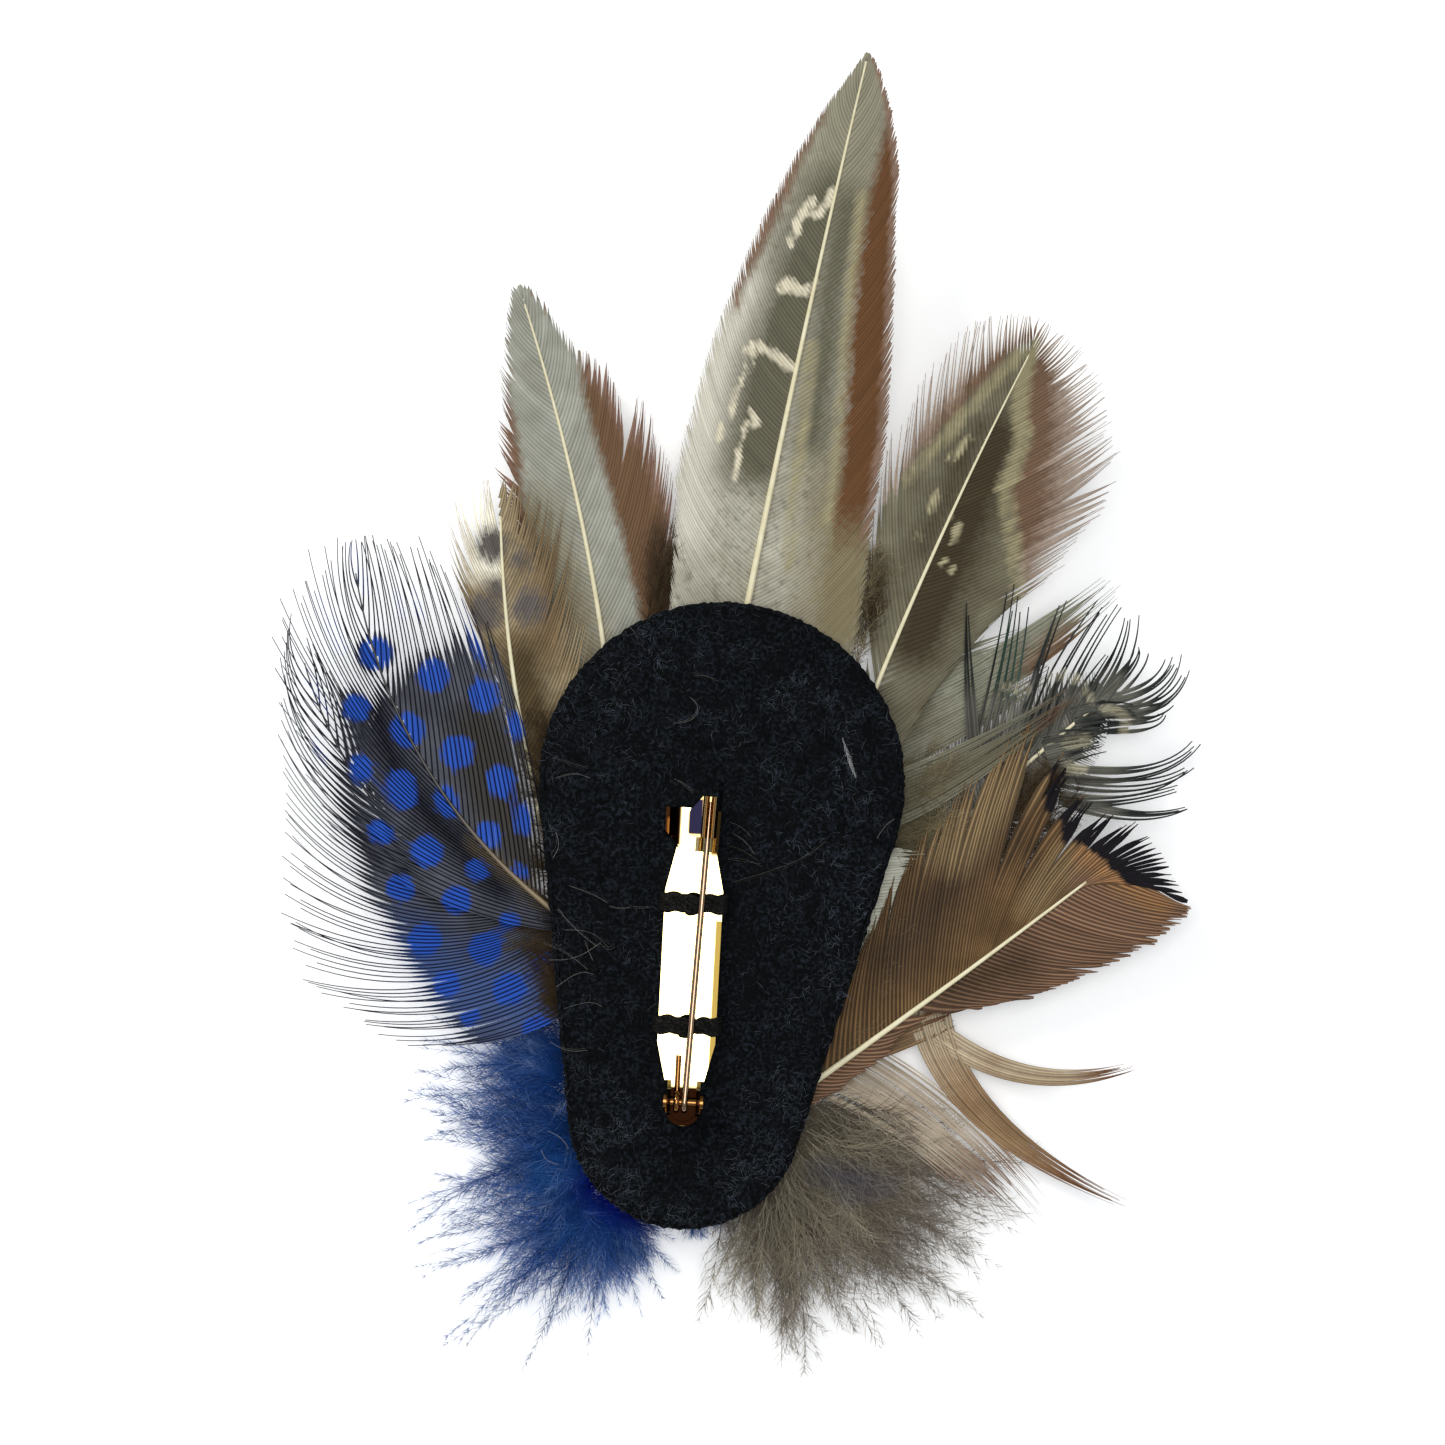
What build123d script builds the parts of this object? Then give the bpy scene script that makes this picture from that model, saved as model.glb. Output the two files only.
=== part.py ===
"""Feather hat plume, lying face down: the felt back with its bar pin is up, +Y points along the
tall feather, and the origin lies under the middle of the whole plume. Lengths are millimetres."""
from build123d import *
from math import cos, degrees, radians, sin, sqrt, tan
import os

os.makedirs("parts", exist_ok=True)

# felt pad: a round head and a smaller round tail, joined by straight sides
FELT_THICK = 2.0
FELT_EDGE_R = 0.6
HEAD_R = 19.5
TAIL_R = 12.55
HEAD_X, HEAD_Y = -1.6, -6.0
TAIL_DROP = 34.8
TAIL_SHIFT = -3.9

# feathers: flat under the felt, rising outwards on a wide sphere
VANE_THICK = 0.5
QUILL_RISE = 0.35
QUILL_ROOT_W = 1.0
QUILL_TIP_W = 0.3
LAYER_GAP = 0.2
DOWN_THICK = 1.6
BED_THICK = 1.0
FLAT_R = 36.0
DISH_R = 450.0
DISH_REACH = 110.0
SAW_CUT = 0.05
LOCKS_PER_ROW = 3

# bar pin, measured from its rivet towards the catch
PIN_X, PIN_Y = -5.72, -39.6
PIN_LEAN = 3.0
PLATE_THICK = 0.6
PLATE_W = 6.15
PLATE_START = 2.2
PLATE_START_W = 4.2
PLATE_WIDEN_END = 6.2
PLATE_NARROW_START = 22.4
PLATE_END = 28.2
PLATE_END_W = 3.6
SEW_HOLE_R = 1.15
SEW_HOLE_LOW = 8.1
SEW_HOLE_HIGH = 21.1
SEAT_GAP = 0.05

TONGUE_INNER = 0.8
RIM_W = 0.8
RIM_RISE = 0.15

WIRE_R = 0.32
NEEDLE_ACROSS = 0.15
NEEDLE_LEAN = 2.0
NECK_R = 0.34
NECK_LENGTH = 1.6
TAPER_LENGTH = 5.4
NEEDLE_TIP_R = 0.1
COIL_R = 0.85
COIL_PITCH = 0.86
LEG_R = 0.29
LEG_REACH = 4.9
RIVET_R = 0.36
RIVET_RISE = 1.4
RIVET_HEAD_R = 0.75
RIVET_HEAD_THICK = 0.3
PIVOT_GAP = 0.05

EAR_THICK = 0.4
EAR_INNER = 1.35
EAR_R = 1.45
EAR_OUT = EAR_INNER + EAR_THICK

BARREL_R = 0.8
BARREL_WALL = 0.25
BARREL_LENGTH = 4.4
BARREL_START = 28.1
BARREL_RISE = 1.45
BARREL_SLOT = 0.8
TAB_REACH = 2.2
TAB_THICK = 0.3
CRADLE_WALL = 0.35
CRADLE_GAP = 0.15
CRADLE_FOOT_W = 1.4
CRADLE_START = 26.6
CRADLE_END = 31.0
CRADLE_CUT = 3.0
CRADLE_SILL = 0.36
CATCH_EAR_R = 1.6
CATCH_EAR_START = 27.0
CATCH_EAR_END = 31.2
CATCH_EAR_SLANT = 1.8
TAB_SLANT = 1.8
TAB_CORNER = 0.5
HOUSING_REACH = 2.55
HOUSING_WALL = 0.4
HOUSING_RISE = 0.95

# heights, worked out from the pile upwards
DOWN_Z = BED_THICK + LAYER_GAP
FIRST_LAYER_Z = DOWN_Z + DOWN_THICK + LAYER_GAP
LAYER_STEP = VANE_THICK + QUILL_RISE + LAYER_GAP
FELT_Z = FIRST_LAYER_Z + 3 * LAYER_STEP
PLATE_Z = FELT_Z + FELT_THICK + SEAT_GAP

TAIL_X, TAIL_Y = HEAD_X + TAIL_SHIFT, HEAD_Y - TAIL_DROP
DISH_X, DISH_Y = (HEAD_X + TAIL_X) / 2, (HEAD_Y + TAIL_Y) / 2


def dish_rise(radius):
    """How far the dish has risen at a radius: a sphere beyond the flat middle."""
    return sqrt(DISH_R**2 - FLAT_R**2) - sqrt(DISH_R**2 - radius**2)


def dished_sheet(bottom, thick):
    """A round sheet that is flat in its middle and rises outwards on a sphere."""
    middle = (FLAT_R + DISH_REACH) / 2
    face = Plane(origin=(DISH_X, DISH_Y, bottom), x_dir=(1, 0, 0), z_dir=(0, -1, 0))
    with BuildSketch(face) as section:
        with BuildLine():
            Line((0, 0), (FLAT_R, 0))
            ThreePointArc((FLAT_R, 0), (middle, dish_rise(middle)), (DISH_REACH, dish_rise(DISH_REACH)))
            Line((DISH_REACH, dish_rise(DISH_REACH)), (DISH_REACH, dish_rise(DISH_REACH) + thick))
            ThreePointArc(
                (DISH_REACH, dish_rise(DISH_REACH) + thick),
                (middle, dish_rise(middle) + thick),
                (FLAT_R, thick),
            )
            Line((FLAT_R, thick), (0, thick))
            Line((0, thick), (0, 0))
        make_face()
    revolve(section.sketch, axis=Axis((DISH_X, DISH_Y, 0), (0, 0, 1)))


def along(root, heading, length, turn, share):
    """Point and heading at a share of a quill that bends evenly by turn degrees."""
    way = radians(heading + turn * share)
    if turn == 0:
        return root[0] + length * share * cos(way), root[1] + length * share * sin(way), degrees(way)
    bend = length / radians(turn)
    start = radians(heading)
    return (
        root[0] + bend * (sin(way) - sin(start)),
        root[1] - bend * (cos(way) - cos(start)),
        degrees(way),
    )


def felt_point(across, down):
    """A point under the felt: shares of the head's radius and of the drop to the tail."""
    return HEAD_X + across * HEAD_R, HEAD_Y - down * TAIL_DROP


def vane_edge(quill, width, rows, side):
    """One edge of a vane, from root to tip, as locks that end in a small step or a split."""
    edge = []
    for first, second in zip(rows, rows[1:]):
        for lock in range(LOCKS_PER_ROW):
            for part, last in ((lock, False), (lock + 1, True)):
                mix = part / LOCKS_PER_ROW
                share, reach, lean = (a + (b - a) * mix for a, b in zip(first[:3], second[:3]))
                if not last:
                    cut = first[3] if lock == 0 else SAW_CUT
                    share = share + (second[0] - first[0]) * SAW_CUT * 2
                    reach = reach * (1 - cut)
                x, y, way = along(*quill, share)
                aim = radians(way + side * lean)
                edge.append((x + reach * width * cos(aim), y + reach * width * sin(aim)))
    return edge


def vane_outline(quill, width, left, right):
    """The outline of a whole vane: root, left edge, tip, and the right edge back again."""
    tip = along(*quill, 1)[:2]
    root = along(*quill, 0)[:2]
    return [root] + vane_edge(quill, width, left, 1) + [tip] + vane_edge(quill, width, right, -1)[::-1]


def lock_outline(root, heading, length, turn, width):
    """A leaf-shaped lock that keeps its width to the middle and runs out to a point."""
    left, right = [], []
    for share, fullness in ((0, 0.8), (0.3, 1), (0.6, 0.8), (0.85, 0.4)):
        x, y, way = along(root, heading, length, turn, share)
        out = width / 2 * fullness
        left.append((x - out * sin(radians(way)), y + out * cos(radians(way))))
        right.append((x + out * sin(radians(way)), y - out * cos(radians(way))))
    return left + [along(root, heading, length, turn, 1)[:2]] + right[::-1]


def quill_outline(quill, reach):
    """The tapered quill, from its root to a share of its length."""
    left, right = [], []
    for step in range(7):
        share = reach * step / 6
        x, y, way = along(*quill, share)
        out = (QUILL_ROOT_W + (QUILL_TIP_W - QUILL_ROOT_W) * share) / 2
        left.append((x - out * sin(radians(way)), y + out * cos(radians(way))))
        right.append((x + out * sin(radians(way)), y - out * cos(radians(way))))
    return left + right[::-1]


def cut_sheet(outlines):
    """Keeps of the sheet only what lies inside the outlines."""
    with BuildSketch(Plane.XY) as shape:
        for outline in outlines:
            with BuildLine():
                Polyline(*outline, close=True)
            make_face()
    extrude(shape.sketch, amount=DISH_REACH, mode=Mode.INTERSECT)


# each feather: its layer counted from the lowest, its root as shares across and down the felt,
# heading and turn of the quill in degrees, length of the quill and width of one side of the vane.
# edge rows: share of the quill, reach as a share of the width, lean from the quill in degrees,
# and the depth of the split that starts there, as a share of the reach
FEATHERS = {
    "tall_feather": dict(
        layer=2, root=(-0.05, 0.0), heading=79.5, turn=-3, length=79.1, width=15.0,
        left=[
            (0.05, 0.56, 47, 0), (0.14, 0.77, 47, 0), (0.26, 0.93, 45, 0), (0.40, 0.88, 46, 0),
            (0.54, 0.82, 41, 0.06), (0.68, 0.72, 33, 0.06), (0.82, 0.50, 28, 0.06), (0.94, 0.21, 23, 0.1),
        ],
        right=[
            (0.05, 0.73, 41, 0), (0.14, 0.97, 45, 0), (0.26, 1.01, 49, 0.08), (0.38, 0.99, 47, 0),
            (0.50, 0.96, 39, 0), (0.60, 0.93, 33, 0), (0.70, 0.85, 29, 0.12), (0.82, 0.53, 32, 0.1),
            (0.92, 0.27, 33, 0.1),
        ],
    ),
    "brown_feather": dict(
        layer=2, root=(0.13, 1.06), heading=34.7, turn=3, length=48.4, width=20.0,
        left=[
            (0.15, 0.33, 26, 0), (0.25, 0.65, 39, 0), (0.36, 0.94, 46, 0), (0.50, 1.21, 46, 0),
            (0.62, 1.40, 38, 0.5), (0.70, 1.00, 35, 0.25), (0.78, 0.70, 26, 0.3), (0.86, 0.57, 16, 0.2),
            (0.94, 0.37, 3, 0.1),
        ],
        right=[
            (0.10, 0.10, 19, 0), (0.30, 0.27, 19, 0), (0.42, 0.30, 22, 0), (0.54, 0.40, 42, 0.05),
            (0.66, 0.53, 50, 0), (0.78, 0.64, 49, 0), (0.88, 0.65, 46, 0), (0.96, 0.45, 40, 0.1),
        ],
    ),
    "spotted_feather_upper": dict(
        layer=2, root=(-0.61, 0.505), heading=149.7, turn=-54, length=52.7, width=24.0,
        left=[
            (0.10, 0.20, 20, 0), (0.20, 0.44, 16, 0), (0.32, 0.66, 24, 0), (0.45, 0.82, 22, 0.08),
            (0.57, 0.75, 21, 0.08), (0.70, 0.63, 22, 0.1), (0.82, 0.40, 24, 0.12), (0.93, 0.17, 24, 0.1),
        ],
        right=[
            (0.10, 0.54, 50, 0), (0.22, 0.78, 54, 0), (0.34, 0.92, 54, 0), (0.46, 1.01, 44, 0.3),
            (0.58, 0.88, 36, 0.1), (0.70, 0.66, 29, 0.1), (0.82, 0.41, 23, 0.1), (0.93, 0.17, 18, 0.1),
        ],
    ),
    "round_feather": dict(
        layer=1, root=(0.49, 0.23), heading=70.6, turn=-8, length=60.6, width=17.0,
        left=[
            (0.05, 0.50, 20, 0), (0.10, 0.73, 18, 0), (0.25, 0.80, 14, 0), (0.38, 0.99, 26, 0),
            (0.50, 1.04, 32, 0), (0.62, 1.01, 32, 0.05), (0.75, 0.81, 33, 0.06), (0.87, 0.54, 29, 0.1),
            (0.95, 0.30, 22, 0.1),
        ],
        right=[
            (0.22, 0.32, 60, 0), (0.34, 0.64, 45, 0), (0.44, 0.89, 52, 0), (0.54, 1.02, 56, 0.06),
            (0.60, 1.25, 40, 0.12), (0.68, 1.03, 38, 0.06), (0.78, 0.83, 35, 0.08), (0.88, 0.52, 28, 0.1),
            (0.95, 0.27, 12, 0.1),
        ],
    ),
    "buff_feather": dict(
        layer=1, root=(-0.95, 0.2), heading=105.4, turn=-16, length=40.0, width=13.5,
        left=[
            (0.05, 0.20, 25, 0), (0.15, 0.39, 31, 0), (0.30, 0.79, 16, 0), (0.45, 0.90, 22, 0.06),
            (0.60, 0.98, 24, 0.08), (0.75, 0.76, 29, 0.1), (0.90, 0.34, 34, 0.1),
        ],
        right=[
            (0.05, 0.40, 30, 0), (0.15, 0.77, 26, 0), (0.30, 0.94, 34, 0), (0.45, 1.05, 29, 0),
            (0.60, 1.03, 25, 0.08), (0.75, 0.77, 23, 0.1), (0.90, 0.35, 21, 0.1),
        ],
    ),
    "spotted_feather_lower": dict(
        layer=1, root=(-0.53, 0.505), heading=171.5, turn=-70, length=51.1, width=20.0,
        left=[
            (0.04, 0.80, 44, 0), (0.08, 1.00, 42, 0), (0.16, 1.17, 41, 0.15), (0.24, 1.15, 44, 0.12),
            (0.34, 0.99, 47, 0.1), (0.46, 0.73, 45, 0.12), (0.60, 0.53, 35, 0.15), (0.74, 0.37, 28, 0.12),
            (0.88, 0.20, 18, 0.1),
        ],
        right=[
            (0.10, 0.15, 40, 0), (0.30, 0.34, 52, 0), (0.50, 0.60, 30, 0), (0.70, 0.50, 25, 0.1),
            (0.85, 0.31, 18, 0.1),
        ],
    ),
    "left_feather": dict(
        layer=0, root=(-0.56, 0.05), heading=94.0, turn=14, length=55.7, width=13.5,
        left=[
            (0.05, 0.35, 39, 0), (0.10, 0.63, 39, 0), (0.25, 0.81, 40, 0), (0.38, 0.94, 37, 0.06),
            (0.50, 0.99, 33, 0.08), (0.62, 0.90, 27, 0.06), (0.76, 0.73, 18, 0.05), (0.88, 0.47, 13, 0.05),
        ],
        right=[
            (0.05, 0.69, 37, 0), (0.18, 0.95, 35, 0), (0.30, 1.15, 41, 0.08), (0.38, 1.24, 38, 0.06),
            (0.46, 1.41, 27, 0.3), (0.56, 0.96, 32, 0.08), (0.66, 0.75, 33, 0.08), (0.78, 0.53, 35, 0.06),
            (0.90, 0.28, 32, 0.06),
        ],
    ),
    "barred_feather": dict(
        layer=0, root=(0.62, 0.5), heading=46.1, turn=-7, length=41.2, width=20.0,
        left=[
            (0.15, 0.50, 40, 0), (0.28, 1.18, 36, 0), (0.40, 1.22, 37, 0.35), (0.50, 1.17, 35, 0.2),
            (0.60, 1.02, 30, 0.3), (0.68, 0.92, 26, 0.35), (0.76, 0.80, 22, 0.3), (0.84, 0.57, 14, 0.3),
            (0.92, 0.45, 2, 0.3),
        ],
        right=[
            (0.20, 0.20, 30, 0), (0.45, 0.50, 44, 0), (0.55, 1.03, 47, 0.3), (0.65, 0.92, 39, 0.35),
            (0.72, 0.83, 38, 0.3), (0.80, 0.53, 29, 0.3), (0.88, 0.47, 29, 0.3), (0.95, 0.45, 21, 0.3),
        ],
    ),
}

# free strips of a feather: root as shares across and down the felt, heading, length, turn, width
STRIPS = {
    "round_feather": [
        (0.68, -0.10, 31.5, 31.4, 2, 7.4),
        (0.55, 0.20, 31.5, 31.5, 4, 4.4),
        (0.52, 0.35, 22.0, 20.4, 6, 7.0),
    ],
}

# the feather under the brown one: its body and the strips that trail from it
UNDER_STRIPS = [
    (0.29, 1.02, 33.0, 25.0, 0, 7.0),
    (1.17, 0.69, -66.0, 29.4, 34, 3.6),
    (1.15, 0.76, -36.0, 22.6, 42, 2.2),
    (0.45, 0.93, -18.0, 27.0, -20, 5.4),
]

# tufts of down: a row for each lock, with its heading, length, turn and width
BLUE_ROOT = (-0.66, 1.15)
BLUE_LOCKS = [
    (-57, 9.4, 6, 7.0), (-78, 12.2, 8, 7.0), (-94, 14.0, 6, 6.5), (-106, 19.6, -6, 6.0),
    (-119, 28.2, 2, 6.0), (-128, 22.5, -6, 6.5), (-139, 25.8, 4, 6.5), (-150, 24.0, -4, 6.5),
    (-160, 24.8, 3, 6.5), (-172, 21.5, -6, 6.5), (178, 21.2, 5, 6.5), (169, 22.4, -6, 6.5),
    (158, 25.2, -4, 6.0), (148, 24.6, 4, 6.0), (136, 17.0, 4, 6.5),
]
BROWN_ROOT = (0.24, 1.08)
BROWN_LOCKS = [
    (-100, 14.0, -4, 7.5), (-94, 17.4, -4, 6.5), (-86, 21.2, -3, 6.0), (-77, 22.8, -4, 6.0),
    (-66, 21.0, 4, 6.5), (-57, 23.8, 3, 6.0), (-49, 24.8, 3, 6.0), (-41, 24.4, 4, 6.0),
    (-33, 25.9, 3, 6.0), (-24, 26.0, 4, 6.0), (-17, 27.2, 3, 6.0), (-9, 27.4, -5, 6.5),
    (2, 22.0, -6, 6.5),
]
BED_LOCKS = [
    (-54, 28.6, 4, 9.0), (-43, 27.0, 4, 9.0), (-29, 24.5, 3, 9.0), (-14, 25.4, 3, 9.0),
    (0, 24.8, 4, 9.0), (16, 23.5, 3, 9.0), (30, 24.5, 3, 9.0), (43, 26.2, -3, 9.0),
    (57, 28.6, -4, 8.0), (72, 24.0, 3, 9.0), (88, 23.5, 3, 9.0), (104, 27.0, -3, 8.0),
    (120, 23.5, 3, 9.0), (136, 22.0, 3, 9.0), (152, 21.0, 3, 9.0), (168, 20.8, 3, 9.0),
    (-176, 20.8, 3, 9.0), (-160, 21.4, 3, 9.0), (-146, 23.0, -3, 9.0), (-132, 28.5, -3, 8.0),
]
BED_TAIL_LOCKS = [
    (-160, 11.4, 3, 6.0), (-140, 11.6, 3, 6.0), (-120, 11.8, 3, 6.0), (-100, 12.0, 3, 6.0),
    (-80, 12.0, -3, 6.0), (-60, 11.8, -3, 6.0), (-40, 11.6, -3, 6.0), (-20, 11.4, -3, 6.0),
]
BED_INSET = 3.5
BED_HEAP_INSET = 5.5
DOWN_CORE_R = 5.5

for name, feather in FEATHERS.items():
    quill = (felt_point(*feather["root"]), feather["heading"], feather["length"], feather["turn"])
    layer_z = FIRST_LAYER_Z + feather["layer"] * LAYER_STEP
    outlines = [vane_outline(quill, feather["width"], feather["left"], feather["right"])]
    for across, down, heading, length, turn, width in STRIPS.get(name, []):
        outlines.append(lock_outline(felt_point(across, down), heading, length, turn, width))
    with BuildPart() as shaft:
        dished_sheet(layer_z, VANE_THICK + QUILL_RISE)
        cut_sheet([quill_outline(quill, 0.97)])
    with BuildPart() as vane:
        dished_sheet(layer_z, VANE_THICK)
        cut_sheet(outlines)
        add(shaft.part)
    vane.part.label = name
    export_step(vane.part, f"parts/{name}.step")

with BuildPart() as under_feather:
    dished_sheet(FIRST_LAYER_Z, VANE_THICK)
    cut_sheet([
        lock_outline(felt_point(across, down), heading, length, turn, width)
        for across, down, heading, length, turn, width in UNDER_STRIPS
    ])
under_feather.part.label = "under_feather"
export_step(under_feather.part, "parts/under_feather.step")

for name, root, locks in (("blue_down", BLUE_ROOT, BLUE_LOCKS), ("brown_down", BROWN_ROOT, BROWN_LOCKS)):
    middle = felt_point(*root)
    with BuildSketch(Plane.XY) as fan:
        with Locations(middle):
            Circle(DOWN_CORE_R)
        for heading, length, turn, width in locks:
            with BuildLine():
                Polyline(*lock_outline(middle, heading, length, turn, width), close=True)
            make_face()
    with BuildPart() as tuft:
        dished_sheet(DOWN_Z, DOWN_THICK)
        extrude(fan.sketch, amount=DISH_REACH, mode=Mode.INTERSECT)
    tuft.part.label = name
    export_step(tuft.part, f"parts/{name}.step")

with BuildSketch(Plane.XY) as bed_shape:
    with Locations((HEAD_X, HEAD_Y)):
        Circle(HEAD_R - BED_INSET)
    with Locations((TAIL_X, TAIL_Y)):
        Circle(TAIL_R - BED_INSET)
    make_hull()
    for middle, locks in (((HEAD_X, HEAD_Y), BED_LOCKS), ((TAIL_X, TAIL_Y), BED_TAIL_LOCKS)):
        for heading, length, turn, width in locks:
            with BuildLine():
                Polyline(*lock_outline(middle, heading, length, turn, width), close=True)
            make_face()
with BuildPart() as fluff_bed:
    dished_sheet(0, BED_THICK)
    extrude(bed_shape.sketch, amount=DISH_REACH, mode=Mode.INTERSECT)
    with BuildSketch(Plane.XY):
        with Locations((HEAD_X, HEAD_Y)):
            Circle(HEAD_R - BED_HEAP_INSET)
    extrude(amount=FIRST_LAYER_Z - LAYER_GAP)
fluff_bed.part.label = "fluff_bed"
export_step(fluff_bed.part, "parts/fluff_bed.step")

with BuildPart() as felt_pad:
    with BuildSketch(Plane.XY.offset(FELT_Z)) as teardrop:
        with Locations((HEAD_X, HEAD_Y)):
            Circle(HEAD_R)
        with Locations((TAIL_X, TAIL_Y)):
            Circle(TAIL_R)
        make_hull()
    extrude(amount=FELT_THICK)
    fillet(felt_pad.faces().filter_by(Axis.Z).edges(), FELT_EDGE_R)
felt_pad.part.label = "felt_pad"
export_step(felt_pad.part, "parts/felt_pad.step")

# the pin's own axes: X across the plate, Y from the rivet towards the catch
lean = radians(PIN_LEAN)
pin_place = Plane(origin=(PIN_X, PIN_Y, PLATE_Z), x_dir=(cos(lean), -sin(lean), 0), z_dir=(0, 0, 1))
pin_top = pin_place.offset(PLATE_THICK)


def pin_point(across, ahead, above):
    """A point given in the pin's own axes, above the plate's top face."""
    return pin_top.from_local_coords(Vector(across, ahead, above))


def across_plane(across, ahead, above):
    """A plane that faces along the rivet, its X towards the catch and its Y up."""
    return Plane(origin=pin_point(across, ahead, above), x_dir=pin_top.y_dir, z_dir=pin_top.x_dir)


# the needle's line runs from the top of its coil down to the middle of the barrel
needle_root = pin_point(NEEDLE_ACROSS, 0, RIVET_RISE + COIL_R)
barrel_mouth = pin_point(
    NEEDLE_ACROSS + BARREL_START * tan(radians(NEEDLE_LEAN)), BARREL_START, BARREL_RISE
)
needle_way = (barrel_mouth - needle_root).normalized()


def needle_plane(distance):
    """A plane square to the needle at a distance from its root, its X to the left and its Y up."""
    sideways = Vector(0, 0, 1).cross(needle_way)
    return Plane(origin=needle_root + needle_way * distance, x_dir=sideways, z_dir=needle_way)


barrel_distance = (barrel_mouth - needle_root).length
cradle_distance = barrel_distance - (BARREL_START - CRADLE_START)
cradle_foot = BARREL_RISE - BARREL_R - CRADLE_GAP

with BuildPart() as pin_plate:
    with BuildSketch(pin_place):
        with BuildLine():
            Polyline(
                (-EAR_OUT, 0), (-EAR_OUT, PLATE_START), (-PLATE_START_W / 2, PLATE_START),
                (-PLATE_W / 2, PLATE_WIDEN_END), (-PLATE_W / 2, PLATE_NARROW_START),
                (-PLATE_END_W / 2, PLATE_END), (-PLATE_END_W / 2, CATCH_EAR_END),
                (-TONGUE_INNER, CATCH_EAR_END), (-TONGUE_INNER, PLATE_END), (PLATE_END_W / 2, PLATE_END),
                (PLATE_W / 2, PLATE_NARROW_START), (PLATE_W / 2, PLATE_WIDEN_END),
                (PLATE_START_W / 2, PLATE_START), (EAR_OUT, PLATE_START), (EAR_OUT, 0), close=True,
            )
        make_face()
        with BuildLine():
            ThreePointArc((-EAR_OUT, 0), (0, -HOUSING_REACH), (EAR_OUT, 0))
            Line((EAR_OUT, 0), (-EAR_OUT, 0))
        make_face()
        with Locations((0, SEW_HOLE_LOW), (0, SEW_HOLE_HIGH)):
            Circle(SEW_HOLE_R, mode=Mode.SUBTRACT)
    extrude(amount=PLATE_THICK)
    inner = EAR_OUT - HOUSING_WALL
    with BuildSketch(pin_top) as housing_end:
        with BuildLine():
            ThreePointArc((-EAR_OUT, 0), (0, -HOUSING_REACH), (EAR_OUT, 0))
            Line((EAR_OUT, 0), (inner, 0))
            ThreePointArc((inner, 0), (0, HOUSING_WALL - HOUSING_REACH), (-inner, 0))
            Line((-inner, 0), (-EAR_OUT, 0))
        make_face()
    extrude(amount=HOUSING_RISE)
    for side in (-1, 1):
        with BuildSketch(across_plane(side * (EAR_INNER + EAR_THICK / 2), 0, 0)):
            with Locations((0, RIVET_RISE)):
                Circle(EAR_R)
            with BuildLine():
                Polyline((-EAR_R, 0), (PLATE_START, 0), (EAR_R, RIVET_RISE), (-EAR_R, RIVET_RISE), close=True)
            make_face()
            with Locations((0, RIVET_RISE)):
                Circle(RIVET_R + PIVOT_GAP, mode=Mode.SUBTRACT)
        extrude(amount=EAR_THICK / 2, both=True)
    with BuildSketch(pin_top):
        with Locations((PLATE_W / 2 - RIM_W / 2, (PLATE_WIDEN_END + PLATE_NARROW_START) / 2)):
            Rectangle(RIM_W, PLATE_NARROW_START - PLATE_WIDEN_END)
    extrude(amount=RIM_RISE)
    with BuildSketch(needle_plane(cradle_distance)) as cradle:
        Circle(BARREL_R + CRADLE_GAP + CRADLE_WALL)
        with Locations((0, -BARREL_RISE / 2)):
            Rectangle(CRADLE_FOOT_W, BARREL_RISE)
        with BuildLine():
            Polyline(
                (0, 0), (CRADLE_CUT, -CRADLE_CUT * CRADLE_SILL), (CRADLE_CUT, CRADLE_CUT),
                (-CRADLE_CUT, CRADLE_CUT), (-CRADLE_CUT, CRADLE_CUT * CRADLE_SILL), close=True,
            )
        make_face(mode=Mode.SUBTRACT)
        Circle(BARREL_R + CRADLE_GAP, mode=Mode.SUBTRACT)
    extrude(amount=CRADLE_END - CRADLE_START)
    with BuildSketch(Plane(
        origin=pin_point(-PLATE_END_W / 2, CATCH_EAR_START, -PLATE_THICK),
        x_dir=pin_top.x_dir, z_dir=-pin_top.y_dir,
    )) as ear:
        with Locations((0, CATCH_EAR_R)):
            Circle(CATCH_EAR_R)
            Circle(CATCH_EAR_R - EAR_THICK, mode=Mode.SUBTRACT)
        with Locations((CATCH_EAR_R, CATCH_EAR_R), (0, 2 * CATCH_EAR_R)):
            Rectangle(2 * CATCH_EAR_R, 2 * CATCH_EAR_R, mode=Mode.SUBTRACT)
    extrude(amount=CATCH_EAR_START - CATCH_EAR_END)
    # the ear runs out to a point at the plate's edge
    ear_edge = -PLATE_END_W / 2 - SEAT_GAP
    with BuildSketch(pin_place):
        with BuildLine():
            Polyline(
                (ear_edge, CATCH_EAR_START), (ear_edge - CATCH_EAR_R, CATCH_EAR_START + CATCH_EAR_SLANT),
                (ear_edge - CATCH_EAR_R, CATCH_EAR_START - SEAT_GAP), (ear_edge, CATCH_EAR_START - SEAT_GAP),
                close=True,
            )
        make_face()
    extrude(amount=2 * CATCH_EAR_R, mode=Mode.SUBTRACT)
pin_plate.part.label = "pin_plate"
export_step(pin_plate.part, "parts/pin_plate.step")

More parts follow.
